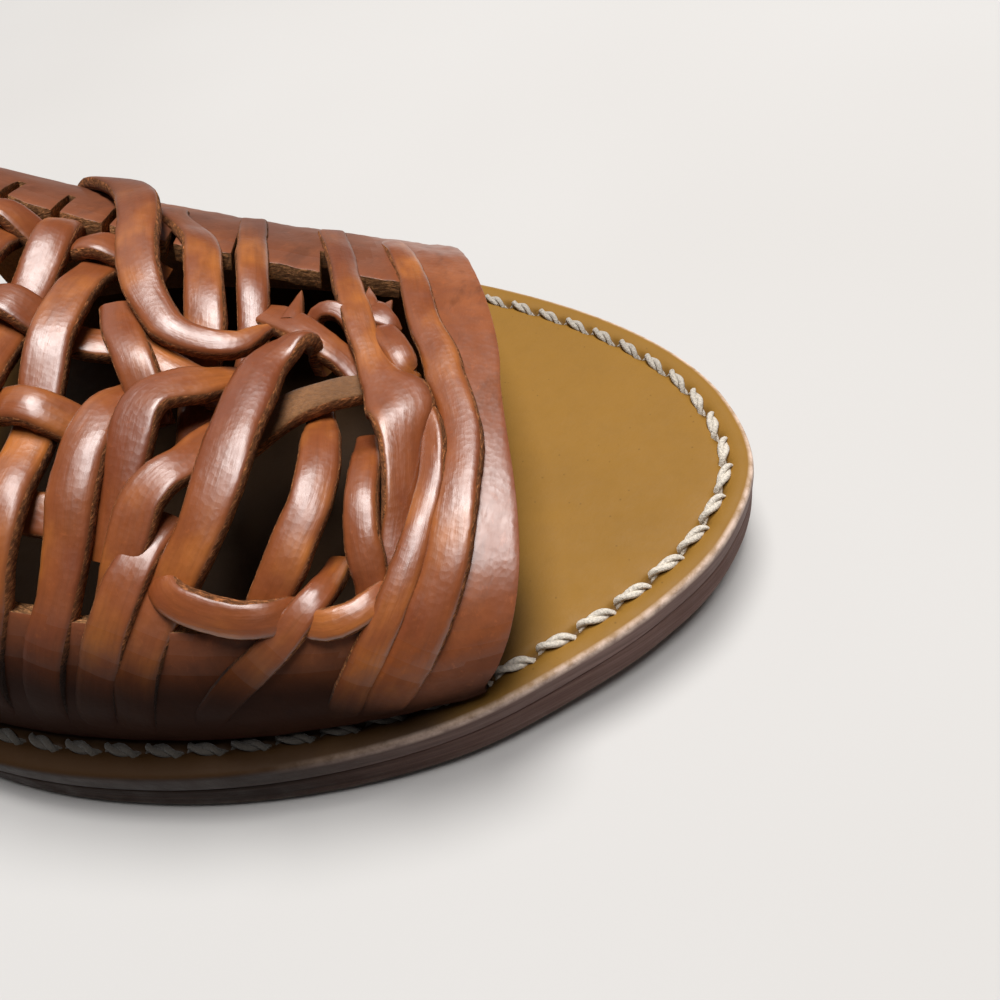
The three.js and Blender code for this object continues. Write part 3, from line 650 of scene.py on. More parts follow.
def raw_edge(colour):
    """The cut edge of thick leather: loose fibres, pale and dark."""
    n = Nodes("raw_edge")
    fibre = n.noise(2600, 5, 0.75, stretch=(0.5, 0.5, 1.6))
    patch = n.noise(500, 3)
    tone = n.ramp(fibre, (0.34, scaled(colour, 0.3)), (0.5, scaled(colour, 0.85)),
                  (0.64, scaled(colour, 2.4)))
    tone = n.over(tone, scaled(colour, 0.5), patch, (0.4, 0.0), (0.7, 0.45))
    # Painted shade towards the sole, as on the bands.
    tone = n.over(tone, shade_colour(colour), n.attribute("painted_shade"), (0.2, 0.0), (0.8, SHADE_SHARE))
    normal = n.bump(fibre, 0.0008, 1.0)
    return n.finish(tone, n.ramp(patch, (0.2, 0.8), (0.8, 0.95)), normal, Specular_IOR_Level=0.2)


def flesh_side(colour):
    """The napped inner side of the leather."""
    n = Nodes("flesh_side")
    nap = n.noise(1800, 5, 0.75)
    tone = n.ramp(n.noise(220, 4), (0.3, scaled(colour, 0.7)), (0.7, scaled(colour, 1.25)))
    tone = n.over(tone, scaled(colour, 0.5), nap, (0.35, 0.6), (0.6, 0.0))
    normal = n.bump(nap, 0.0004, 0.8)
    return n.finish(tone, n.ramp(nap, (0.2, 0.82), (0.8, 0.96)), normal, Specular_IOR_Level=0.2,
                    Sheen_Weight=0.25, Sheen_Roughness=0.5)


def insole_leather(colour, edge_colour):
    """Smooth tan leather with faint pores and painted shade under the vamp, and a dark painted edge
    with a painted highlight along its corner and a painted sheen towards the toe.
    """
    n = Nodes("insole_leather")
    edge = n.attribute("edge")
    toe = n.attribute("toe")
    mottle = n.noise(420, 5, 0.7)
    pores = n.cells(520)
    tone = n.ramp(n.noise(45, 5, 0.6), (0.3, scaled(colour, 0.93)), (0.5, colour),
                  (0.75, scaled(colour, 1.05)))
    tone = n.over(tone, scaled(colour, 0.8), mottle, (0.5, 0.0), (0.8, 0.35))
    tone = n.over(tone, scaled(colour, 0.5), pores, (0.035, 0.55), (0.08, 0.0))
    # Darkens towards deep brown: real wear where the foot rests, darker round the stitch holes, and
    # painted shade under the vamp and beside its inner foot.
    tone = n.blend(n.attribute("wear_and_shade"), tone, srgb(48, 30, 16))
    streaks = n.noise(500, 5, 0.7, stretch=(0.12, 0.12, 3.0))
    painted = n.ramp(streaks, (0.3, scaled(edge_colour, 0.55)), (0.55, edge_colour),
                     (0.75, scaled(edge_colour, 1.5)))
    # Painted sheen: the dark edge turns pale mauve-grey towards the toe.
    toe_sheen = n.ramp(streaks, (0.3, srgb(98, 72, 65)), (0.7, srgb(140, 112, 104)))
    tone = n.over(tone, n.blend(toe, painted, toe_sheen), edge, (0.45, 0.0), (0.6, 1.0))
    # Painted highlight: a pale pinkish line along the edge's upper corner, broken up, towards the toe.
    corner = n.ramp(edge, (0.2, 0.0), (0.42, 0.95), (0.62, 0.95), (0.86, 0.0))
    corner_glint = n.ramp(n.noise(600, 4, 0.7), (0.35, 0.35), (0.6, 1.0))
    corner_glint = n.maths("MULTIPLY", corner_glint, toe)
    tone = n.blend(n.maths("MULTIPLY", corner, corner_glint), tone, srgb(232, 206, 188))
    normal = n.bump(n.noise(2400, 4, 0.7), 0.00006, 0.6)
    normal = n.bump(mottle, 0.0001, 0.4, normal)
    normal = n.bump(pores, 0.00008, 0.3, normal)
    rough = n.ramp(n.noise(300, 4), (0.3, 0.5), (0.7, 0.66))
    return n.finish(tone, rough, normal, Specular_IOR_Level=0.18)


def edge_leather(name, colour):
    """Dyed and waxed sole leather: fibre lines along the edge, dust near the ground, and a painted
    sheen towards the toe.
    """
    n = Nodes(name)
    streaks = n.noise(600, 5, 0.7, stretch=(0.1, 0.1, 3.2))
    tone = n.ramp(streaks, (0.3, scaled(colour, 0.5)), (0.52, colour), (0.75, scaled(colour, 1.6)))
    tone = n.over(tone, scaled(colour, 0.55), n.noise(70, 4), (0.4, 0.0), (0.75, 0.6))
    # Painted sheen: the edge turns pale mauve-grey towards the toe.
    toe_sheen = n.ramp(streaks, (0.3, srgb(92, 67, 60)), (0.7, srgb(132, 104, 96)))
    tone = n.blend(n.attribute("toe"), tone, toe_sheen)
    dust = n.ramp(n.attribute("low"), (0.3, 0.0), (0.85, 0.45))
    broken = n.ramp(n.noise(420, 5, 0.75), (0.35, 0.2), (0.62, 1.0))
    tone = n.blend(n.maths("MULTIPLY", dust, broken), tone, srgb(142, 122, 104))
    normal = n.bump(streaks, 0.0003, 0.7)
    rough = n.ramp(n.noise(260, 4), (0.3, 0.55), (0.7, 0.8))
    return n.finish(tone, rough, normal, Specular_IOR_Level=0.12)


def scuffed_rubber(colour):
    """Matte rubber top piece, scuffed."""
    n = Nodes("heel_rubber")
    grain = n.noise(1500, 4, 0.7)
    tone = n.ramp(n.noise(130, 4), (0.3, scaled(colour, 0.7)), (0.7, scaled(colour, 1.6)))
    normal = n.bump(grain, 0.0002, 0.6)
    return n.finish(tone, n.ramp(grain, (0.3, 0.7), (0.7, 0.9)), normal, Specular_IOR_Level=0.3)


def waxed_thread(colour):
    """Fibres of the thread, with painted shade beside the vamp's inner foot and on the outer side."""
    n = Nodes("waxed_thread")
    fibre = n.noise(3500, 4, 0.7)
    tone = n.ramp(fibre, (0.3, scaled(colour, 0.55)), (0.55, colour), (0.75, scaled(colour, 1.25)))
    tone = n.over(tone, scaled(colour, 0.5), n.noise(180, 3), (0.5, 0.0), (0.8, 0.45))
    # Painted shade: the thread darkens to grey-brown.
    tone = n.blend(n.attribute("thread_shade"), tone, srgb(66, 60, 52))
    normal = n.bump(fibre, 0.00025, 0.9)
    return n.finish(tone, n.ramp(fibre, (0.3, 0.55), (0.7, 0.75)), normal, Sheen_Weight=0.2)


# ---- the sole ------------------------------------------------------------------------------
EDGE_STEPS = 960  # about eight for each stitch
INNER_SHARES = (0.06, 0.14, 0.25, 0.38, 0.52, 0.66, 0.8, 0.92)
INSET_TO = 9.0  # rings follow the edge this far in, then close on the sole's spine
SPINE_END = 104.0  # x of the spine's ends, towards toe and heel
INSOLE_SINK = 0.1  # with OUTSOLE_LIFT, closes the gap between the solids to a fine joint line
OUTSOLE_LIFT = 0.12
HOLE_WIDTH = 0.12  # of the stitch pitch
HOLE_DARK_WIDTH = 0.2
# The thread's groove: (distance from its middle, depth, and how much more at a hole).
GROOVE = ((0.9, 0.05, 0.0), (0.6, 0.16, 0.12), (0.3, 0.28, 0.42))
GROOVE_MIDDLE = (0.33, 0.6)
# The insole's worn upper corner and its side, as (inset, lift).
CORNER = [(0.9, 0.0), (0.5, -0.05), (0.24, -0.18), (0.08, -0.42), (0.0, -0.75)]
CORNER_MARKS = [0.1, 0.3, 0.45, 0.55, 0.7, 1.0]  # "edge" at each of its points, then on the side
INSOLE_SIDE = [(-0.05, -1.4), (-0.04, -2.2), (-0.03, -2.9), (0.02, -3.2), (0.3, -3.3)]
OUTSOLE_SIDE = [
    (0.9, OUTSOLE_LIFT), (0.16, OUTSOLE_LIFT), (0.02, 0.04), (-0.04, -0.4), (-0.08, -1.6),
    (-0.1, -2.9), (-0.04, -3.6), (0.12, -4.15), (0.4, -4.5), (0.9, -4.7),
]
DUST = [0.05, 0.15, 0.35, 0.55, 0.75, 0.9, 1.0, 0.6]  # "low" down the outsole's side, then on the tread


def spine_point(p):
    """Where the rings inside the sole's edge close, level with p."""
    x = min(SPINE_END, max(-SPINE_END, p.x))
    return Vector((x, (edge_y(x, 1) + edge_y(x, -1)) / 2, 0))


def edge_rings(profile, height):
    """Rings at each (inset, lift) of a profile. height(x) is what the lifts are added to."""
    rings = []
    places = [edge_at(k / EDGE_STEPS) for k in range(EDGE_STEPS)]
    for inset, lift in profile:
        ring = []
        for k, (p, inward) in enumerate(places):
            q = p + inward * inset
            q.z = height(p.x if inset < 2 else q.x) + (lift(k) if callable(lift) else lift)
            ring.append(q)
        rings.append(ring)
    return rings


def inner_rings(height, shares):
    """Rings from INSET_TO towards the spine, at each share of the way."""
    rings = []
    for share in shares:
        ring = []
        for k in range(EDGE_STEPS):
            p, inward = edge_at(k / EDGE_STEPS)
            q = (p + inward * INSET_TO).lerp(spine_point(p), share)
            q.z = height(q.x)
            ring.append(q)
        rings.append(ring)
    return rings


def mark(bm, name, values):
    """Stores values[row] of each ring on its points."""
    layer = bm.verts.layers.float.new(name)
    row = bm.verts.layers.int.get("row")
    for vert in bm.verts:
        vert[layer] = values[min(vert[row], len(values) - 1)]


PAST_INNER_FOOT = -60.0  # y past the vamp's inner foot
HALVINGS = 12


def front_edge_x(y):
    """x of the vamp's front edge over the insole at y."""
    low, high = 0.0, 1.0
    for _ in range(HALVINGS):
        v = (low + high) / 2
        low, high = (v, high) if vamp_point(0, v).y > y else (low, v)
    return vamp_point(0, low).x


def toe_light(x):
    """How strongly the painted sheen shows on the sole's edge towards the toe, from 0 to 1."""
    return rise(x, 76, 118)


def inner_foot_shade(x, y, front):
    """How much painted shade falls on the insole and stitches beside the vamp's inner foot, from 0 to
    1. The vamp ends at front.
    """
    return rise(x, front + 3, front - 6) * rise(x, 2, 32) * rise(y, -12, -24)


def under_vamp(x, y, front):
    """How dark the insole is under the vamp and where the foot rests, from 0 to 1: painted shade under
    the vamp, real wear where the foot rests.
    """
    trodden = 0.16 * bell(y, 0, 22)
    return rise(x, front - 5, front - 17) * mix(trodden, 0.95, rise(x, 4, 30))


def hole_share(k, stitches, width):
    """1 at a stitch hole and 0 away from it, at step k of the sole's edge."""
    phase = (k / EDGE_STEPS * stitches) % 1.0
    return bell(min(phase, 1 - phase), 0, width)


def build_insole(sizes):
    inset = sizes.stitch_inset / MM
    stitches = stitch_count(sizes)

    def low(x):
        return tread_z(x) + OUTSOLE_THICK + GAP - INSOLE_SINK

    def groove(depth, more):
        def lift(k):
            hole = more * hole_share(k, stitches, HOLE_WIDTH)
            return -depth - hole + 0.03 * wavy(k * 0.11, depth, 3)
        return lift

    top = [(INSET_TO, 0.0), (6.5, 0.0), (inset + 1.5, 0.0)]
    top += [(inset + off, groove(depth, more)) for off, depth, more in GROOVE]
    thread_row = len(INNER_SHARES) + len(top)
    top.append((inset, groove(*GROOVE_MIDDLE)))
    top += [(inset - off, groove(depth, more)) for off, depth, more in reversed(GROOVE)]
    top.append((inset - 1.5, 0.0))
    rings = inner_rings(insole_top, reversed(INNER_SHARES))
    flat = [0.0] * (len(rings) + len(top))
    rings += edge_rings(top + CORNER + INSOLE_SIDE, insole_top) + inner_rings(low, [0.0, 0.5])
    bm = bmesh.new()
    extruded_rings(bm, rings)
    mark(bm, "edge", flat + CORNER_MARKS)
    wear_and_shade, toe = (bm.verts.layers.float.new(key) for key in ("wear_and_shade", "toe"))
    row, station = (bm.verts.layers.int.get(key) for key in ("row", "station"))
    for vert in bm.verts:
        # Darker round each stitch hole.
        hole_dark = hole_share(vert[station], stitches, HOLE_DARK_WIDTH) * bell(vert[row], thread_row, 1.7)
        x, y = vert.co.x, vert.co.y
        front = front_edge_x(y)
        # Real wear, darker stitch holes, and painted shade under the vamp and beside its inner foot, in
        # one value.
        vert[wear_and_shade] = max(under_vamp(x, y, front), 0.8 * hole_dark, 0.92 * inner_foot_shade(x, y, front))
        vert[toe] = toe_light(x)
    material = insole_leather(sizes.insole_colour, sizes.edge_colour)
    return finish_piece(bm, "insole_leather", [material], ["insole"], 60)


def build_outsole(sizes):
    def top(x):
        return tread_z(x) + OUTSOLE_THICK

    rings = inner_rings(top, [0.5, 0.0]) + edge_rings(OUTSOLE_SIDE, top)
    rings += inner_rings(tread_z, [0.0] + list(INNER_SHARES))
    bm = bmesh.new()
    extruded_rings(bm, rings)
    mark(bm, "low", [0.0] * 5 + DUST)
    toe = bm.verts.layers.float.new("toe")
    for vert in bm.verts:
        vert[toe] = toe_light(vert.co.x)
    material = edge_leather("outsole_leather", sizes.edge_colour)
    return finish_piece(bm, "outsole_leather", [material], ["outsole"], 60)


HEEL_MIDDLE = Vector((-96, 0, 0))
BREAST_STEPS = 24
# A layer of the heel, as (how far it pulls in towards the heel's middle, share of its height).
LAYER_PROFILE = ((0.0072, 0.0), (0.0024, 0.06), (0.0, 0.14), (0.0, 0.86), (0.0024, 0.94), (0.0072, 1.0))
HEEL_CAP_PULL = 0.03


def heel_outline(inset):
    """The heel's plan: the sole's outline behind the breast, closed by a straight breast."""
    points = []
    for k in range(-EDGE_STEPS // 2, EDGE_STEPS // 2):
        p, inward = edge_at(k / EDGE_STEPS)
        q = p + inward * inset
        if q.x < HEEL_BREAST_X:
            points.append(q)
    a = Vector((HEEL_BREAST_X, points[-1].y, 0))
    b = Vector((HEEL_BREAST_X, points[0].y, 0))
    return points + [a.lerp(b, i / BREAST_STEPS) for i in range(BREAST_STEPS + 1)]


def heel_block(name, low, high, inset, layers, material, node):
    """A heel piece of stacked layers, each slightly proud of the joints between them."""
    plan = heel_outline(inset)

    def ring(pull, z):
        return [p.lerp(HEEL_MIDDLE, pull) + Vector((0, 0, z)) for p in plan]

    rings = [ring(HEEL_CAP_PULL, low)]
    lows = [1.0]
    for layer in range(layers):
        for pull, share in LAYER_PROFILE:
            up = (layer + share) / layers
            rings.append(ring(pull, mix(low, high, up)))
            lows.append(1 - up)
    bm = bmesh.new()
    extruded_rings(bm, rings + [ring(HEEL_CAP_PULL, high)])
    mark(bm, "low", lows + [0.0])
    return finish_piece(bm, name, [material], [node], 35)


def build_heel(sizes):
    leather = edge_leather("heel_stack_leather", scaled(sizes.edge_colour, 0.9))
    low, high = LIFT_THICK + GAP, HEEL_RISE - GAP
    heel_block("heel_stack_leather", low, high, STACK_INSET, STACK_LAYERS, leather, "heel_stack")
    rubber = scuffed_rubber(sizes.rubber_colour)
    heel_block("heel_lift_rubber", 0.0, LIFT_THICK, LIFT_INSET, 1, rubber, "heel_lift")


# ---- the stitches --------------------------------------------------------------------------
def stitch_count(sizes):
    return round(EDGE_LENGTH / (sizes.stitch_pitch / MM))


STITCH_SHARE = 0.93  # of the pitch, from hole to hole
PLY_STEPS = 11
PLY_SIDES = 7
PLY_RADIUS = 0.31  # of the thread's diameter
PLY_WIND = 0.25  # of the thread's diameter, from the thread's middle to the ply's
PLY_TURNS = 0.8
PLY_PHASES = (0.1, 0.6)
PLY_LIFT = 0.14
DIVE = 1.1  # how far a stitch's ends go down into their holes
SLANT = -11  # degrees that a stitch leans across the seam


def ply_mesh(phase, length, thread):
    """One ply of a stitch, lying along X and diving at both ends."""
    bm = bmesh.new()
    rings = []
    for i in range(PLY_STEPS):
        t = i / (PLY_STEPS - 1)
        turn = 2 * math.pi * (PLY_TURNS * t + phase)
        dive = abs(2 * t - 1) ** 4
        wind = thread * PLY_WIND
        centre = Vector(((t - 0.5) * length, wind * math.cos(turn), wind * math.sin(turn)))
        centre.z += PLY_LIFT - dive * DIVE
        thin = thread * PLY_RADIUS * (1 - 0.25 * dive)
        angles = (angle_at(k, PLY_SIDES) for k in range(PLY_SIDES))
        rings.append([centre + Vector((0, math.cos(a), math.sin(a))) * thin for a in angles])
    extruded_rings(bm, rings)
    mesh = bpy.data.meshes.new("ply")
    bm.to_mesh(mesh)
    bm.free()
    return mesh


def stitch_place(share, inset, index):
    """Where one stitch lies, along the sole's edge and a little uneven."""
    p, inward = edge_at(share)
    centre = p + inward * inset
    centre.z = insole_top(centre.x) + 0.08 * wavy(index * 1.7, 0.3, 0)
    ahead = Vector((-inward.y, inward.x, 0))
    slope = (insole_top(centre.x + 1) - insole_top(centre.x)) * ahead.x
    along = (ahead + Vector((0, 0, slope))).normalized()
    side = Vector((0, 0, 1)).cross(along).normalized()
    turn = Matrix((along, side, along.cross(side))).transposed().to_4x4()
    slant = math.radians(SLANT + 4 * wavy(index * 0.9, 5, 0))
    return Matrix.Translation(centre) @ turn @ Matrix.Rotation(slant, 4, "Z")


def build_stitches(sizes):
    count = stitch_count(sizes)
    thread = sizes.thread_diameter / MM
    inset = sizes.stitch_inset / MM
    length = sizes.stitch_pitch / MM * STITCH_SHARE
    plies = [ply_mesh(phase, length, thread) for phase in PLY_PHASES]
    bm = bmesh.new()
    for i in range(count):
        place = stitch_place((i + 0.5) / count, inset, i)
        for ply in plies:
            before = len(bm.verts)
            bm.from_mesh(ply)
            bm.verts.ensure_lookup_table()
            bmesh.ops.transform(bm, matrix=place, verts=bm.verts[before:])
    for ply in plies:
        bpy.data.meshes.remove(ply)
    thread_shade = bm.verts.layers.float.new("thread_shade")
    front = front_edge_x(PAST_INNER_FOOT)
    for vert in bm.verts:
        x, y = vert.co.x, vert.co.y
        # Painted shade on the thread, beside the vamp's inner foot and on the outer side.
        vert[thread_shade] = max(0.96 * inner_foot_shade(x, y, front), 0.4 * rise(y, -4, 22))
    return finish_piece(bm, "welt_stitches", [waxed_thread(sizes.thread_colour)], (), 80)


# ---- the upper's plain bands ---------------------------------------------------------------
U_COUNTS = (13, 64, 12)  # grid lines in front of the opening, along it and behind it
V_COUNTS = (36, 34, 22)  # and outside it, over it and inside it
FOOT_LINES = 3  # on each side, for the foot that goes into the slot
COLUMNS = sum(V_COUNTS) + 2 * FOOT_LINES
FOOT_SHARE = FOOT_LINES / COLUMNS
SLOT_REACH = 1.8  # how far the foot goes below the insole's top
NOTCH_LINES = 5  # length of a notch, in grid lines
NOTCH_HALF = 0.0085  # half a notch's width, in u
RIM_ROUND = 0.4


def grid_place(t, low, high, counts):
    """Spreads even grid lines so that lines fall on low and on high."""
    first, middle, last = counts
    k = t * (first + middle + last)
    if k <= first:
        return low * k / first
    if k >= first + middle:
        return mix(high, 1.0, (k - first - middle) / last)
    return mix(low, high, (k - first) / middle)


def band_lines(s, t):
    """Place (u, v) on the vamp of a grid point, with slightly uneven cut edges."""
    v = grid_place(t, OPENING["outer"], OPENING["inner"], V_COUNTS)
    front = mix(FRONT_BAND["side"], FRONT_BAND["crown"], math.sin(math.pi * v))
    u = grid_place(s, front, OPENING["back"], U_COUNTS)
    v += 0.005 * wavy(u * 34, 1.5, 0) * bell(v, OPENING["outer"], 0.03)
    v += 0.004 * wavy(u * 30, 7.5, 0) * bell(v, OPENING["inner"], 0.03)
    u += 0.003 * wavy(v * 26, 4.5, 0) * bell(u, front, 0.03)
    return u, v


def band_surface(s, t, height):
    """Outer face of the bands: the vamp above the sole, then down into the insole's slot."""
    if 0 <= above_foot(t) <= 1:
        u, v = band_lines(s, above_foot(t))
        swell = 0.18 * wavy(u * 22, v * 16, 9) + 0.1 * wavy(u * 60, v * 40, 2)
        return vamp_at(u, v, height + swell)
    side = 1 if t < FOOT_SHARE else -1
    u, v = band_lines(s, 0.0 if side > 0 else 1.0)
    x = column(VAMP, "outer_x" if side > 0 else "inner_x", u)
    edge = vamp_at(u, v, height)
    edge.z = min(edge.z, insole_top(x) + FOOT_RISE)
    slot = Vector((x, edge_y(x, side) - side * (SLOT_INSET - height), insole_top(x) - SLOT_REACH))
    return edge.lerp(slot, smooth(1 - min(t, 1 - t) / FOOT_SHARE))


def above_foot(t):
    """The share of the way from the outer foot to the inner one, over the foot itself."""
    return (t - FOOT_SHARE) / (1 - 2 * FOOT_SHARE)


def in_opening(s, t):
    """Whether the bands are cut away at a grid place, in the opening or in a notch beside it."""
    u_line = s * sum(U_COUNTS)
    v_line = above_foot(t) * sum(V_COUNTS)
    if not U_COUNTS[0] < u_line < sum(U_COUNTS[:2]):
        return False
    if V_COUNTS[0] < v_line < sum(V_COUNTS[:2]):
        return True
    u = grid_place(s, NOTCH_FRONT, OPENING["back"], U_COUNTS)
    beside = V_COUNTS[0] - NOTCH_LINES < v_line < V_COUNTS[0] + 1
    return beside and any(abs(u - notch) < NOTCH_HALF for notch in NOTCHES)


def grid_shares(p):
    """Shares of the way along and across the flat grid, which spans -1 to 1."""
    return (p.x + 1) / 2, (p.y + 1) / 2


def build_bands(sizes):
    thick = sizes.upper_thickness / MM
    bm = bmesh.new()
    bmesh.ops.create_grid(bm, x_segments=sum(U_COUNTS), y_segments=COLUMNS, size=1)
    gone = [face for face in bm.faces if in_opening(*grid_shares(face.calc_center_median()))]
    bmesh.ops.delete(bm, geom=gone, context="FACES")
    painted_shade, dull = (bm.verts.layers.float.new(key) for key in ("painted_shade", "dull"))
    for vert in bm.verts:
        s, t = grid_shares(vert.co)
        u, v = band_lines(s, clamp01(above_foot(t)))
        # Painted shade on the bands, towards the sole on the inner side and on the outer side.
        vert[painted_shade] = side_shade(u, v)
        vert[dull] = dulled(v, vert[painted_shade])
        vert.co = band_surface(s, t, thick / 2)
    bmesh.ops.recalc_face_normals(bm, faces=bm.faces)
    if sum(face.normal.z * face.calc_area() for face in bm.faces) < 0:
        bmesh.ops.reverse_faces(bm, faces=bm.faces)
    outer_faces = set(bm.faces)
    outer_verts = set(bm.verts)
    bmesh.ops.solidify(bm, geom=list(bm.faces), thickness=thick)
    bm.normal_update()
    rims = []
    for face in bm.faces:
        if face in outer_faces:
            face.material_index = gloss_step(face, dull)
            continue
        touching = sum(vert in outer_verts for vert in face.verts)
        face.material_index = len(GLOSS) + (1 if touching == 0 else 0)
        if touching and touching < len(face.verts):
            rims.append(face)
    corners = [e for face in rims for e in face.edges
               if len(e.link_faces) == 2 and sum(f in rims for f in e.link_faces) == 1]
    bmesh.ops.bevel(bm, geom=list(set(corners)), offset=RIM_ROUND, offset_type="OFFSET", segments=2,
                    profile=0.5, affect="EDGES", material=-1, clamp_overlap=True)
    materials = [band_leather(sizes.upper_colour, gloss) for gloss in GLOSS]
    materials += [raw_edge(sizes.raw_colour), flesh_side(sizes.flesh_colour)]
    return finish_piece(bm, "vamp_bands", materials, ["upper"])


# ---- the woven strips ----------------------------------------------------------------------
SECTION = 20  # points round a strip
STATION_GAP = 0.9  # between a strip's sections, in millimetres
WEIGHTS = (80, 110, 1, 1, 1 / 20)  # make one step of each column weigh about a millimetre
ROLL_SWAY = 6  # degrees
WIDTH_SWAY = 0.07  # of the width
CUP, CUP_REST = 0.5, -0.15  # how far the edges curl over or under, and their mean
RIM_FROM = 0.93  # share of the half width from which a strip shows its cut edge
STRIP_LAYERS = ("along", "across", "strip", "painted_shade", "dull")


def route_places(rows):
    """Places along a strip's route, as dicts of its columns, evenly enough spaced."""
    keys = [Vector([value * weight for value, weight in zip(row, WEIGHTS)]) for row in rows]
    keys = [keys[0] * 2 - keys[1]] + keys + [keys[-1] * 2 - keys[-2]]
    made = []
    for i in range(len(keys) - 3):
        length = (Vector(keys[i + 2][:3]) - Vector(keys[i + 1][:3])).length
        steps = max(2, round(length / STATION_GAP))
        made += [spline(*keys[i:i + 4], s / steps) for s in range(steps)]
    made.append(keys[-2])
    plain = [[value / weight for value, weight in zip(place, WEIGHTS)] for place in made]
    return [dict(zip(STRIP_COLUMNS, place)) for place in plain]


def section_point(k, width, thick):
    """Point k round a strip's section: a flat bar with softened corners, and its place across."""
    angle = angle_at(k, SECTION)
    across = squarish(math.cos(angle), 0.42)
    return across * width / 2, squarish(math.sin(angle), 0.55) * thick / 2, across


def strip_rings(places, index, thick):
    """A strip's sections along its route, and its length up to each."""
    centres = [vamp_at(p["u"], p["v"], p["height"]) for p in places]
    last = len(places) - 1
    rings = []
    lengths = [0.0]
    for i, place in enumerate(places):
        ahead = (centres[min(last, i + 1)] - centres[max(0, i - 1)]).normalized()
        up = vamp_normal(place["u"], place["v"])
        up = (up - ahead * up.dot(ahead)).normalized()
        roll = place["roll"] + ROLL_SWAY * wavy(i * 0.13, index * 3.7, 0)
        up.rotate(Matrix.Rotation(math.radians(roll), 3, ahead))
        side = ahead.cross(up)
        if i:
            lengths.append(lengths[-1] + (centres[i] - centres[i - 1]).length)
        length = lengths[-1]
        width = place["width"] * (1 + WIDTH_SWAY * wavy(length * 0.16, index * 2.3, 1))
        cup = CUP * wavy(length * 0.12, index * 4.1, 7) + CUP_REST
        thin = thick * clamp01(0.35 + place["width"] / 3.2)
        ring = []
        for k in range(SECTION):
            x, z, across = section_point(k, width, thin)
            z += cup * across * across + 0.1 * wavy(length * 0.25, across * 1.2, index * 1.9)
            x += 0.09 * across * wavy(length * 0.8, across * 1.5, index * 5.1)
            ring.append(centres[i] + side * x + up * z)
        rings.append(ring)
    return rings, lengths


def add_strip(bm, index, rows, thick):
    places = route_places(rows)
    rings, lengths = strip_rings(places, index, thick)
    before = set(bm.verts)
    faces = extruded_rings(bm, rings)
    station, row = (bm.verts.layers.int.get(key) for key in ("station", "row"))
    along, across, strip, painted_shade, dull = (bm.verts.layers.float.get(key) for key in STRIP_LAYERS)
    for vert in bm.verts:
        if vert in before:
            continue
        vert[along] = lengths[vert[row]]
        vert[across] = section_point(vert[station], 1, 1)[2]
        vert[strip] = index
        place = places[vert[row]]
        # Painted shade on the strips, as on the bands.
        vert[painted_shade] = side_shade(0.6 * place["u"] + 0.03, place["v"])
        vert[dull] = dulled(place["v"], vert[painted_shade])
    for face in faces:
        stations = [vert[station] for vert in face.verts]
        up = sum(math.sin(angle_at(k, SECTION)) for k in stations)
        wide = sum(abs(section_point(k, 2, 1)[2]) for k in stations) / len(stations)
        if wide > RIM_FROM or len(face.verts) == 3:
            face.material_index = len(GLOSS)
        else:
            face.material_index = len(GLOSS) + 1 if up < 0 else gloss_step(face, dull)


def dulled(v, painted_shade):
    """How far the gloss is taken down on the shaded side, from 0 to 1."""
    return max(painted_shade, 0.8 * rise(v, 0.77, 0.89))


def side_shade(u, v):
    """How much painted shade darkens the leather, from 0 to 1: towards the sole on the inner side, and
    on the outer side.
    """
    outer_side = 0.42 * rise(v, 0.42, 0.3) * rise(u, 0.1, 0.24)
    start = mix(0.86, 0.745, rise(u, 0.06, 0.2))
    return max(rise(v, start, start + 0.15), outer_side + 0.5 * rise(v, 0.22, 0))


def back_weave():
    """The plain weave behind the loose strips: rows of (u, v, height), all of one width."""
    crossings = [[mix(front, back, (u - 0.5) / 0.4) for front, back in BACK_ALONG] for u in BACK_CROSS]
    heights = (BACK_UNDER, BACK_OVER)
    made = []
    for i, u in enumerate(BACK_CROSS):
        rows = [(u + 0.01, 0.3, -2.4), (u + 0.008, 0.36, -1.9)]
        for j, v in enumerate(crossings[i]):
            rows.append((u + 0.01 * wavy(i * 1.3, j * 1.7, 0), v, heights[(i + j) % 2]))
        made.append(rows + [(u, 0.79, 1.0), (u + 0.004, 0.88, 0.9), (u + 0.005, 0.985, 0.1)])
    for j, (front, back) in enumerate(BACK_ALONG):
        rows = [(0.49, front - 0.01, -1.8)]
        for i, u in enumerate(BACK_CROSS):
            v = crossings[i][j] + 0.012 * wavy(i * 1.1, j * 2.3, 5)
            rows.append((u, v, heights[(i + j + 1) % 2]))
        made.append(rows + [(0.888, back, -1.6), (0.94, back, -2.4)])
    return [[row + (BACK_WIDTH, 0) for row in rows] for rows in made]


def build_strip_piece(sizes, name, routes, first):
    """One piece of joined strips, which are numbered from first."""
    bm = bmesh.new()
    for key in STRIP_LAYERS:
        bm.verts.layers.float.new(key)
    for key in ("station", "row"):
        bm.verts.layers.int.new(key)
    for index, rows in enumerate(routes, first):
        add_strip(bm, index, rows, sizes.strip_thickness / MM)
    materials = [strip_leather(sizes.strip_colour, gloss) for gloss in GLOSS]
    cut_colour = mixed(sizes.strip_colour, sizes.raw_colour, 0.4)
    materials += [raw_edge(cut_colour), flesh_side(sizes.flesh_colour)]
    return finish_piece(bm, name, materials, ["upper"])


def build_strips(sizes):
    build_strip_piece(sizes, "loose_strips", STRIPS.values(), 0)
    build_strip_piece(sizes, "plain_strips", back_weave(), len(STRIPS))


# ---- the heel strap ------------------------------------------------------------------------
STRAP_STEPS = 150  # from its outer foot to the back of the heel
STRAP_AROUND = 40
STRAP_RIM_FROM = 0.97  # share of the half width from which the strap shows its cut edge


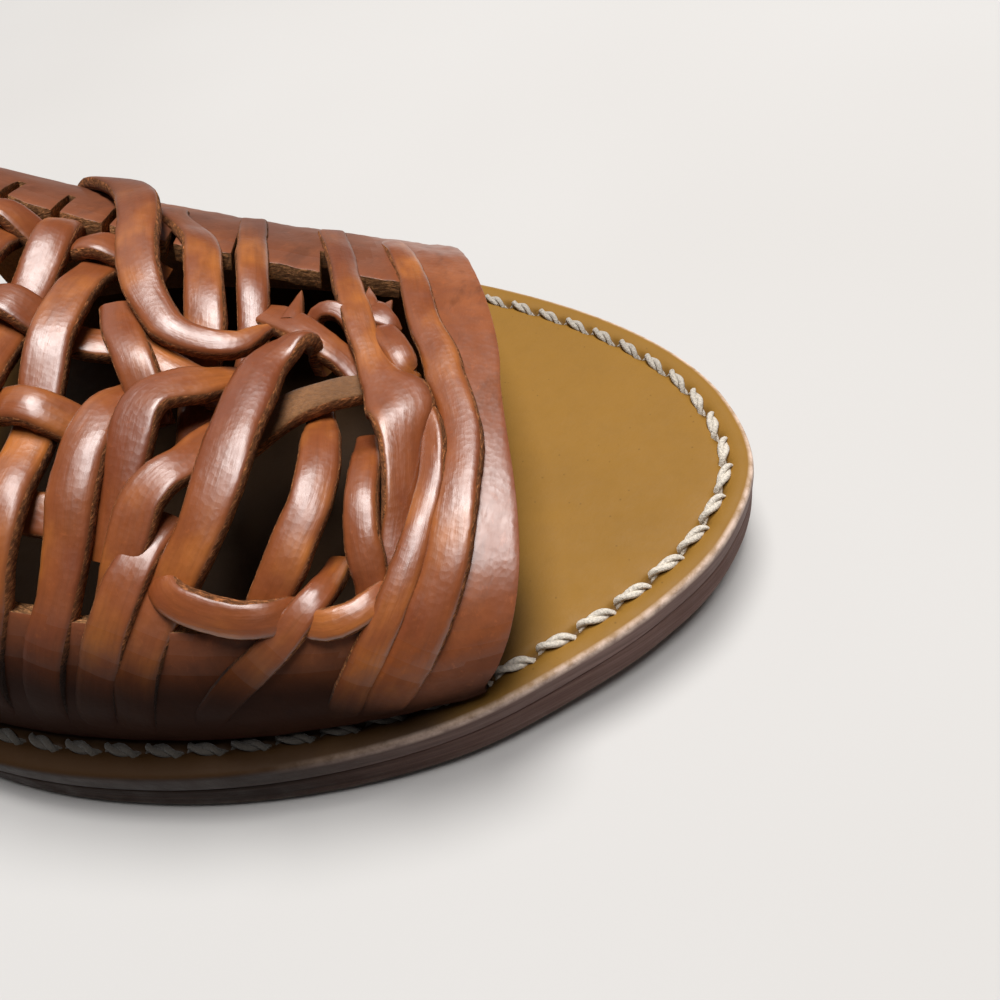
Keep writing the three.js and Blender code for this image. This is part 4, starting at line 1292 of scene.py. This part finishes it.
def strap_edge(s, side, edge):
    """Point on the strap's top or low edge. s runs from its foot to the back of the heel."""
    p, inward = edge_at(side * column(STRAP, edge, s))
    q = p + inward * column(STRAP, "inset", s)
    q.z = insole_top(p.x) + column(STRAP, edge + "_z", s)
    return q


def strap_ring(i, top, low, ahead, thick):
    """The strap's section: a flat bar with a shallow groove beside each edge."""
    across = (low - top) / 2
    out = ahead.cross(across).normalized() * (thick / 2)
    ring = []
    for k in range(STRAP_AROUND):
        angle = angle_at(k, STRAP_AROUND)
        x = squarish(math.cos(angle), 0.32)
        z = squarish(math.sin(angle), 0.5) * (1 - 0.12 * bell(abs(x), 0.86, 0.03))
        ring.append((top + low) / 2 + across * x + out * (z + 0.08 * wavy(i * 0.06, x * 2, 3)))
    return ring


def build_heel_strap(sizes):
    lines = []
    for i in range(-STRAP_STEPS, STRAP_STEPS + 1):
        s = 1 - abs(i) / STRAP_STEPS
        side = 1 if i < 0 else -1
        lines.append((strap_edge(s, side, "top"), strap_edge(s, side, "low")))
    rings = []
    for i, (top, low) in enumerate(lines):
        after, before = lines[min(len(lines) - 1, i + 1)], lines[max(0, i - 1)]
        ahead = sum(after, Vector()) - sum(before, Vector())
        rings.append(strap_ring(i, top, low, ahead, sizes.strap_thickness / MM))
    bm = bmesh.new()
    extruded_rings(bm, rings)
    station = bm.verts.layers.int.get("station")
    for face in bm.faces:
        angles = [angle_at(vert[station], STRAP_AROUND) for vert in face.verts]
        wide = sum(abs(math.cos(a)) for a in angles) / len(angles)
        inner = sum(math.sin(a) for a in angles) > 0
        face.material_index = 1 if wide > STRAP_RIM_FROM else (2 if inner else 0)
    materials = [band_leather(sizes.upper_colour, 0.8, "strap_leather"), raw_edge(sizes.raw_colour),
                 flesh_side(sizes.flesh_colour)]
    return finish_piece(bm, "heel_strap_leather", materials, ["heel_strap"])


# ---- the stage -----------------------------------------------------------------------------
# The camera's places are in millimetres, like the tables; the lights' are in metres.
CAMERA_AIM = (98.4, -6.0, 8.2)
CAMERA_PLACE = (122.64, -66.43, 86.72)
CAMERA_ROLL = math.radians(-15.5)
CAMERA_LENS = 30.6
FLOOR_HALF = 3
LIGHT_AIM = (0.07, 0.0, 0.015)
LIGHTS = {  # place, diameter, watts and colour
    "key": ((0.06, 0.28, 0.92), 0.44, 9.4, (1.0, 0.985, 0.97)),
    "overhead": ((0.3, -0.02, 0.95), 0.34, 4.8, (1.0, 0.98, 0.98)),
    "rim": ((-0.5, 0.5, 0.5), 0.5, 0.25, (1.0, 0.97, 0.95)),
}
ROOM_COLOUR = (0.97, 0.96, 1.0, 1)
ROOM_STRENGTH = 0.06


def build_camera():
    place = Vector(CAMERA_PLACE)
    ahead = Vector(CAMERA_AIM) - place
    camera = bpy.data.objects.new("camera", bpy.data.cameras.new("camera"))
    camera.data.lens = CAMERA_LENS
    camera.data.clip_start = 0.005
    turn = ahead.to_track_quat("-Z", "Y").to_matrix() @ Matrix.Rotation(CAMERA_ROLL, 3, "Z")
    camera.matrix_world = Matrix.Translation((place + Vector((0, SHIFT_Y, 0))) * MM) @ turn.to_4x4()
    bpy.context.scene.collection.objects.link(camera)
    bpy.context.scene.camera = camera


def area_light(name, place, size, power, colour):
    light = bpy.data.lights.new(name, "AREA")
    light.shape = "DISK"
    light.size = size
    light.energy = power
    light.color = colour
    lamp = bpy.data.objects.new(name, light)
    turn = (Vector(LIGHT_AIM) - Vector(place)).to_track_quat("-Z", "Y")
    lamp.matrix_world = Matrix.Translation(place) @ turn.to_matrix().to_4x4()
    bpy.context.scene.collection.objects.link(lamp)


def floor_material():
    n = Nodes("studio_floor")
    cloud = n.noise(3, 3)
    tone = n.ramp(cloud, (0.3, srgb(194, 192, 189)), (0.7, srgb(202, 201, 199)))
    return n.finish(tone, n.ramp(cloud, (0.3, 0.7), (0.7, 0.85)), Specular_IOR_Level=0.2)


def build_floor():
    bm = bmesh.new()
    bmesh.ops.create_grid(bm, x_segments=24, y_segments=24, size=FLOOR_HALF)
    mesh = bpy.data.meshes.new("studio_floor")
    bm.to_mesh(mesh)
    bm.free()
    mesh.materials.append(floor_material())
    floor = bpy.data.objects.new("studio_floor", mesh)
    bpy.context.scene.collection.objects.link(floor)


def build_room():
    world = bpy.data.worlds.new("studio")
    world.use_nodes = True
    room = world.node_tree.nodes["Background"].inputs
    room["Color"].default_value = ROOM_COLOUR
    room["Strength"].default_value = ROOM_STRENGTH
    bpy.context.scene.world = world
    bpy.context.scene.view_settings.view_transform = "Standard"


# ---- sizes and colours a user would change -------------------------------------------------
def length_property(name, text, value):
    return bpy.props.FloatProperty(name=name, description=text, default=value, unit="LENGTH", min=0.0)


def colour_property(name, text, value):
    return bpy.props.FloatVectorProperty(name=name, description=text, default=value, size=4,
                                         subtype="COLOR", min=0.0, max=1.0)


class SandalSizes(bpy.types.PropertyGroup):
    """Sizes and colours of the sandal's finish."""

    upper_thickness: length_property("Upper thickness", "Thickness of the plain bands", 0.0022)
    strip_thickness: length_property("Strip thickness", "Thickness of the woven strips", 0.0018)
    strap_thickness: length_property("Strap thickness", "Thickness of the heel strap", 0.0024)
    stitch_pitch: length_property("Stitch pitch", "Length of one welt stitch", 0.005)
    stitch_inset: length_property("Stitch inset", "Stitches' distance from the sole's edge", 0.0031)
    thread_diameter: length_property("Thread", "Diameter of the twisted thread", 0.00125)
    upper_colour: colour_property("Bands", "Leather of the plain bands", srgb(134, 74, 42))
    strip_colour: colour_property("Strips", "Leather of the woven strips", srgb(138, 74, 36))
    raw_colour: colour_property("Cut edges", "Cut edges of the leather", srgb(176, 124, 80))
    flesh_colour: colour_property("Flesh side", "Inner side of the leather", srgb(134, 92, 56))
    insole_colour: colour_property("Insole", "Tan insole leather", srgb(142, 103, 40))
    edge_colour: colour_property("Sole edge", "Dyed edges of the sole", srgb(40, 22, 13))
    thread_colour: colour_property("Thread", "Waxed thread", srgb(232, 222, 206))
    rubber_colour: colour_property("Heel rubber", "Rubber top piece", srgb(40, 34, 30))


class PieceOperator:
    """What the piece operators share: each runs its own build function with the scene's sizes."""

    def execute(self, context):
        self.build(context.scene.sandal_sizes)
        return {"FINISHED"}


class SANDAL_OT_insole(PieceOperator, bpy.types.Operator):
    """Insole with its stitch groove and worn corner"""

    bl_idname = "sandal.insole"
    bl_label = "Insole"
    build = staticmethod(build_insole)


class SANDAL_OT_outsole(PieceOperator, bpy.types.Operator):
    """Outsole with its rounded, dusty edge"""

    bl_idname = "sandal.outsole"
    bl_label = "Outsole"
    build = staticmethod(build_outsole)


class SANDAL_OT_heel(PieceOperator, bpy.types.Operator):
    """Stacked leather heel and its rubber top piece"""

    bl_idname = "sandal.heel"
    bl_label = "Heel"
    build = staticmethod(build_heel)


class SANDAL_OT_stitches(PieceOperator, bpy.types.Operator):
    """Twisted stitches round the insole"""

    bl_idname = "sandal.stitches"
    bl_label = "Stitches"
    build = staticmethod(build_stitches)


class SANDAL_OT_bands(PieceOperator, bpy.types.Operator):
    """Plain leather bands of the vamp, round the weave"""

    bl_idname = "sandal.bands"
    bl_label = "Bands"
    build = staticmethod(build_bands)


class SANDAL_OT_strips(PieceOperator, bpy.types.Operator):
    """Woven strips of the vamp"""

    bl_idname = "sandal.strips"
    bl_label = "Strips"
    build = staticmethod(build_strips)


class SANDAL_OT_heel_strap(PieceOperator, bpy.types.Operator):
    """Plain strap round the back of the heel"""

    bl_idname = "sandal.heel_strap"
    bl_label = "Heel strap"
    build = staticmethod(build_heel_strap)


class SANDAL_OT_stage(bpy.types.Operator):
    """Pale floor, soft lights and the camera"""

    bl_idname = "sandal.stage"
    bl_label = "Stage"

    def execute(self, context):
        build_camera()
        build_floor()
        for name, settings in LIGHTS.items():
            area_light(name, *settings)
        build_room()
        return {"FINISHED"}


OPERATORS = (SANDAL_OT_stage, SANDAL_OT_insole, SANDAL_OT_outsole, SANDAL_OT_heel,
             SANDAL_OT_stitches, SANDAL_OT_bands, SANDAL_OT_strips, SANDAL_OT_heel_strap)


class SANDAL_PT_panel(bpy.types.Panel):
    """Lists the sandal's pieces"""

    bl_idname = "SANDAL_PT_panel"
    bl_label = "Huarache sandal"
    bl_space_type = "VIEW_3D"
    bl_region_type = "UI"
    bl_category = "Sandal"

    def draw(self, context):
        sizes = context.scene.sandal_sizes
        for name in sizes.bl_rna.properties.keys():
            if name not in ("rna_type", "name"):
                self.layout.prop(sizes, name)
        for operator in OPERATORS:
            self.layout.operator(operator.bl_idname)


CLASSES = (SandalSizes,) + OPERATORS + (SANDAL_PT_panel,)


def register():
    for item in CLASSES:
        bpy.utils.register_class(item)
    bpy.types.Scene.sandal_sizes = bpy.props.PointerProperty(type=SandalSizes)


def unregister():
    del bpy.types.Scene.sandal_sizes
    for item in reversed(CLASSES):
        bpy.utils.unregister_class(item)


def main():
    register()
    bpy.ops.sandal.stage()
    bpy.ops.sandal.insole()
    bpy.ops.sandal.outsole()
    bpy.ops.sandal.heel()
    bpy.ops.sandal.stitches()
    bpy.ops.sandal.bands()
    bpy.ops.sandal.strips()
    bpy.ops.sandal.heel_strap()


if __name__ == "__main__":
    main()
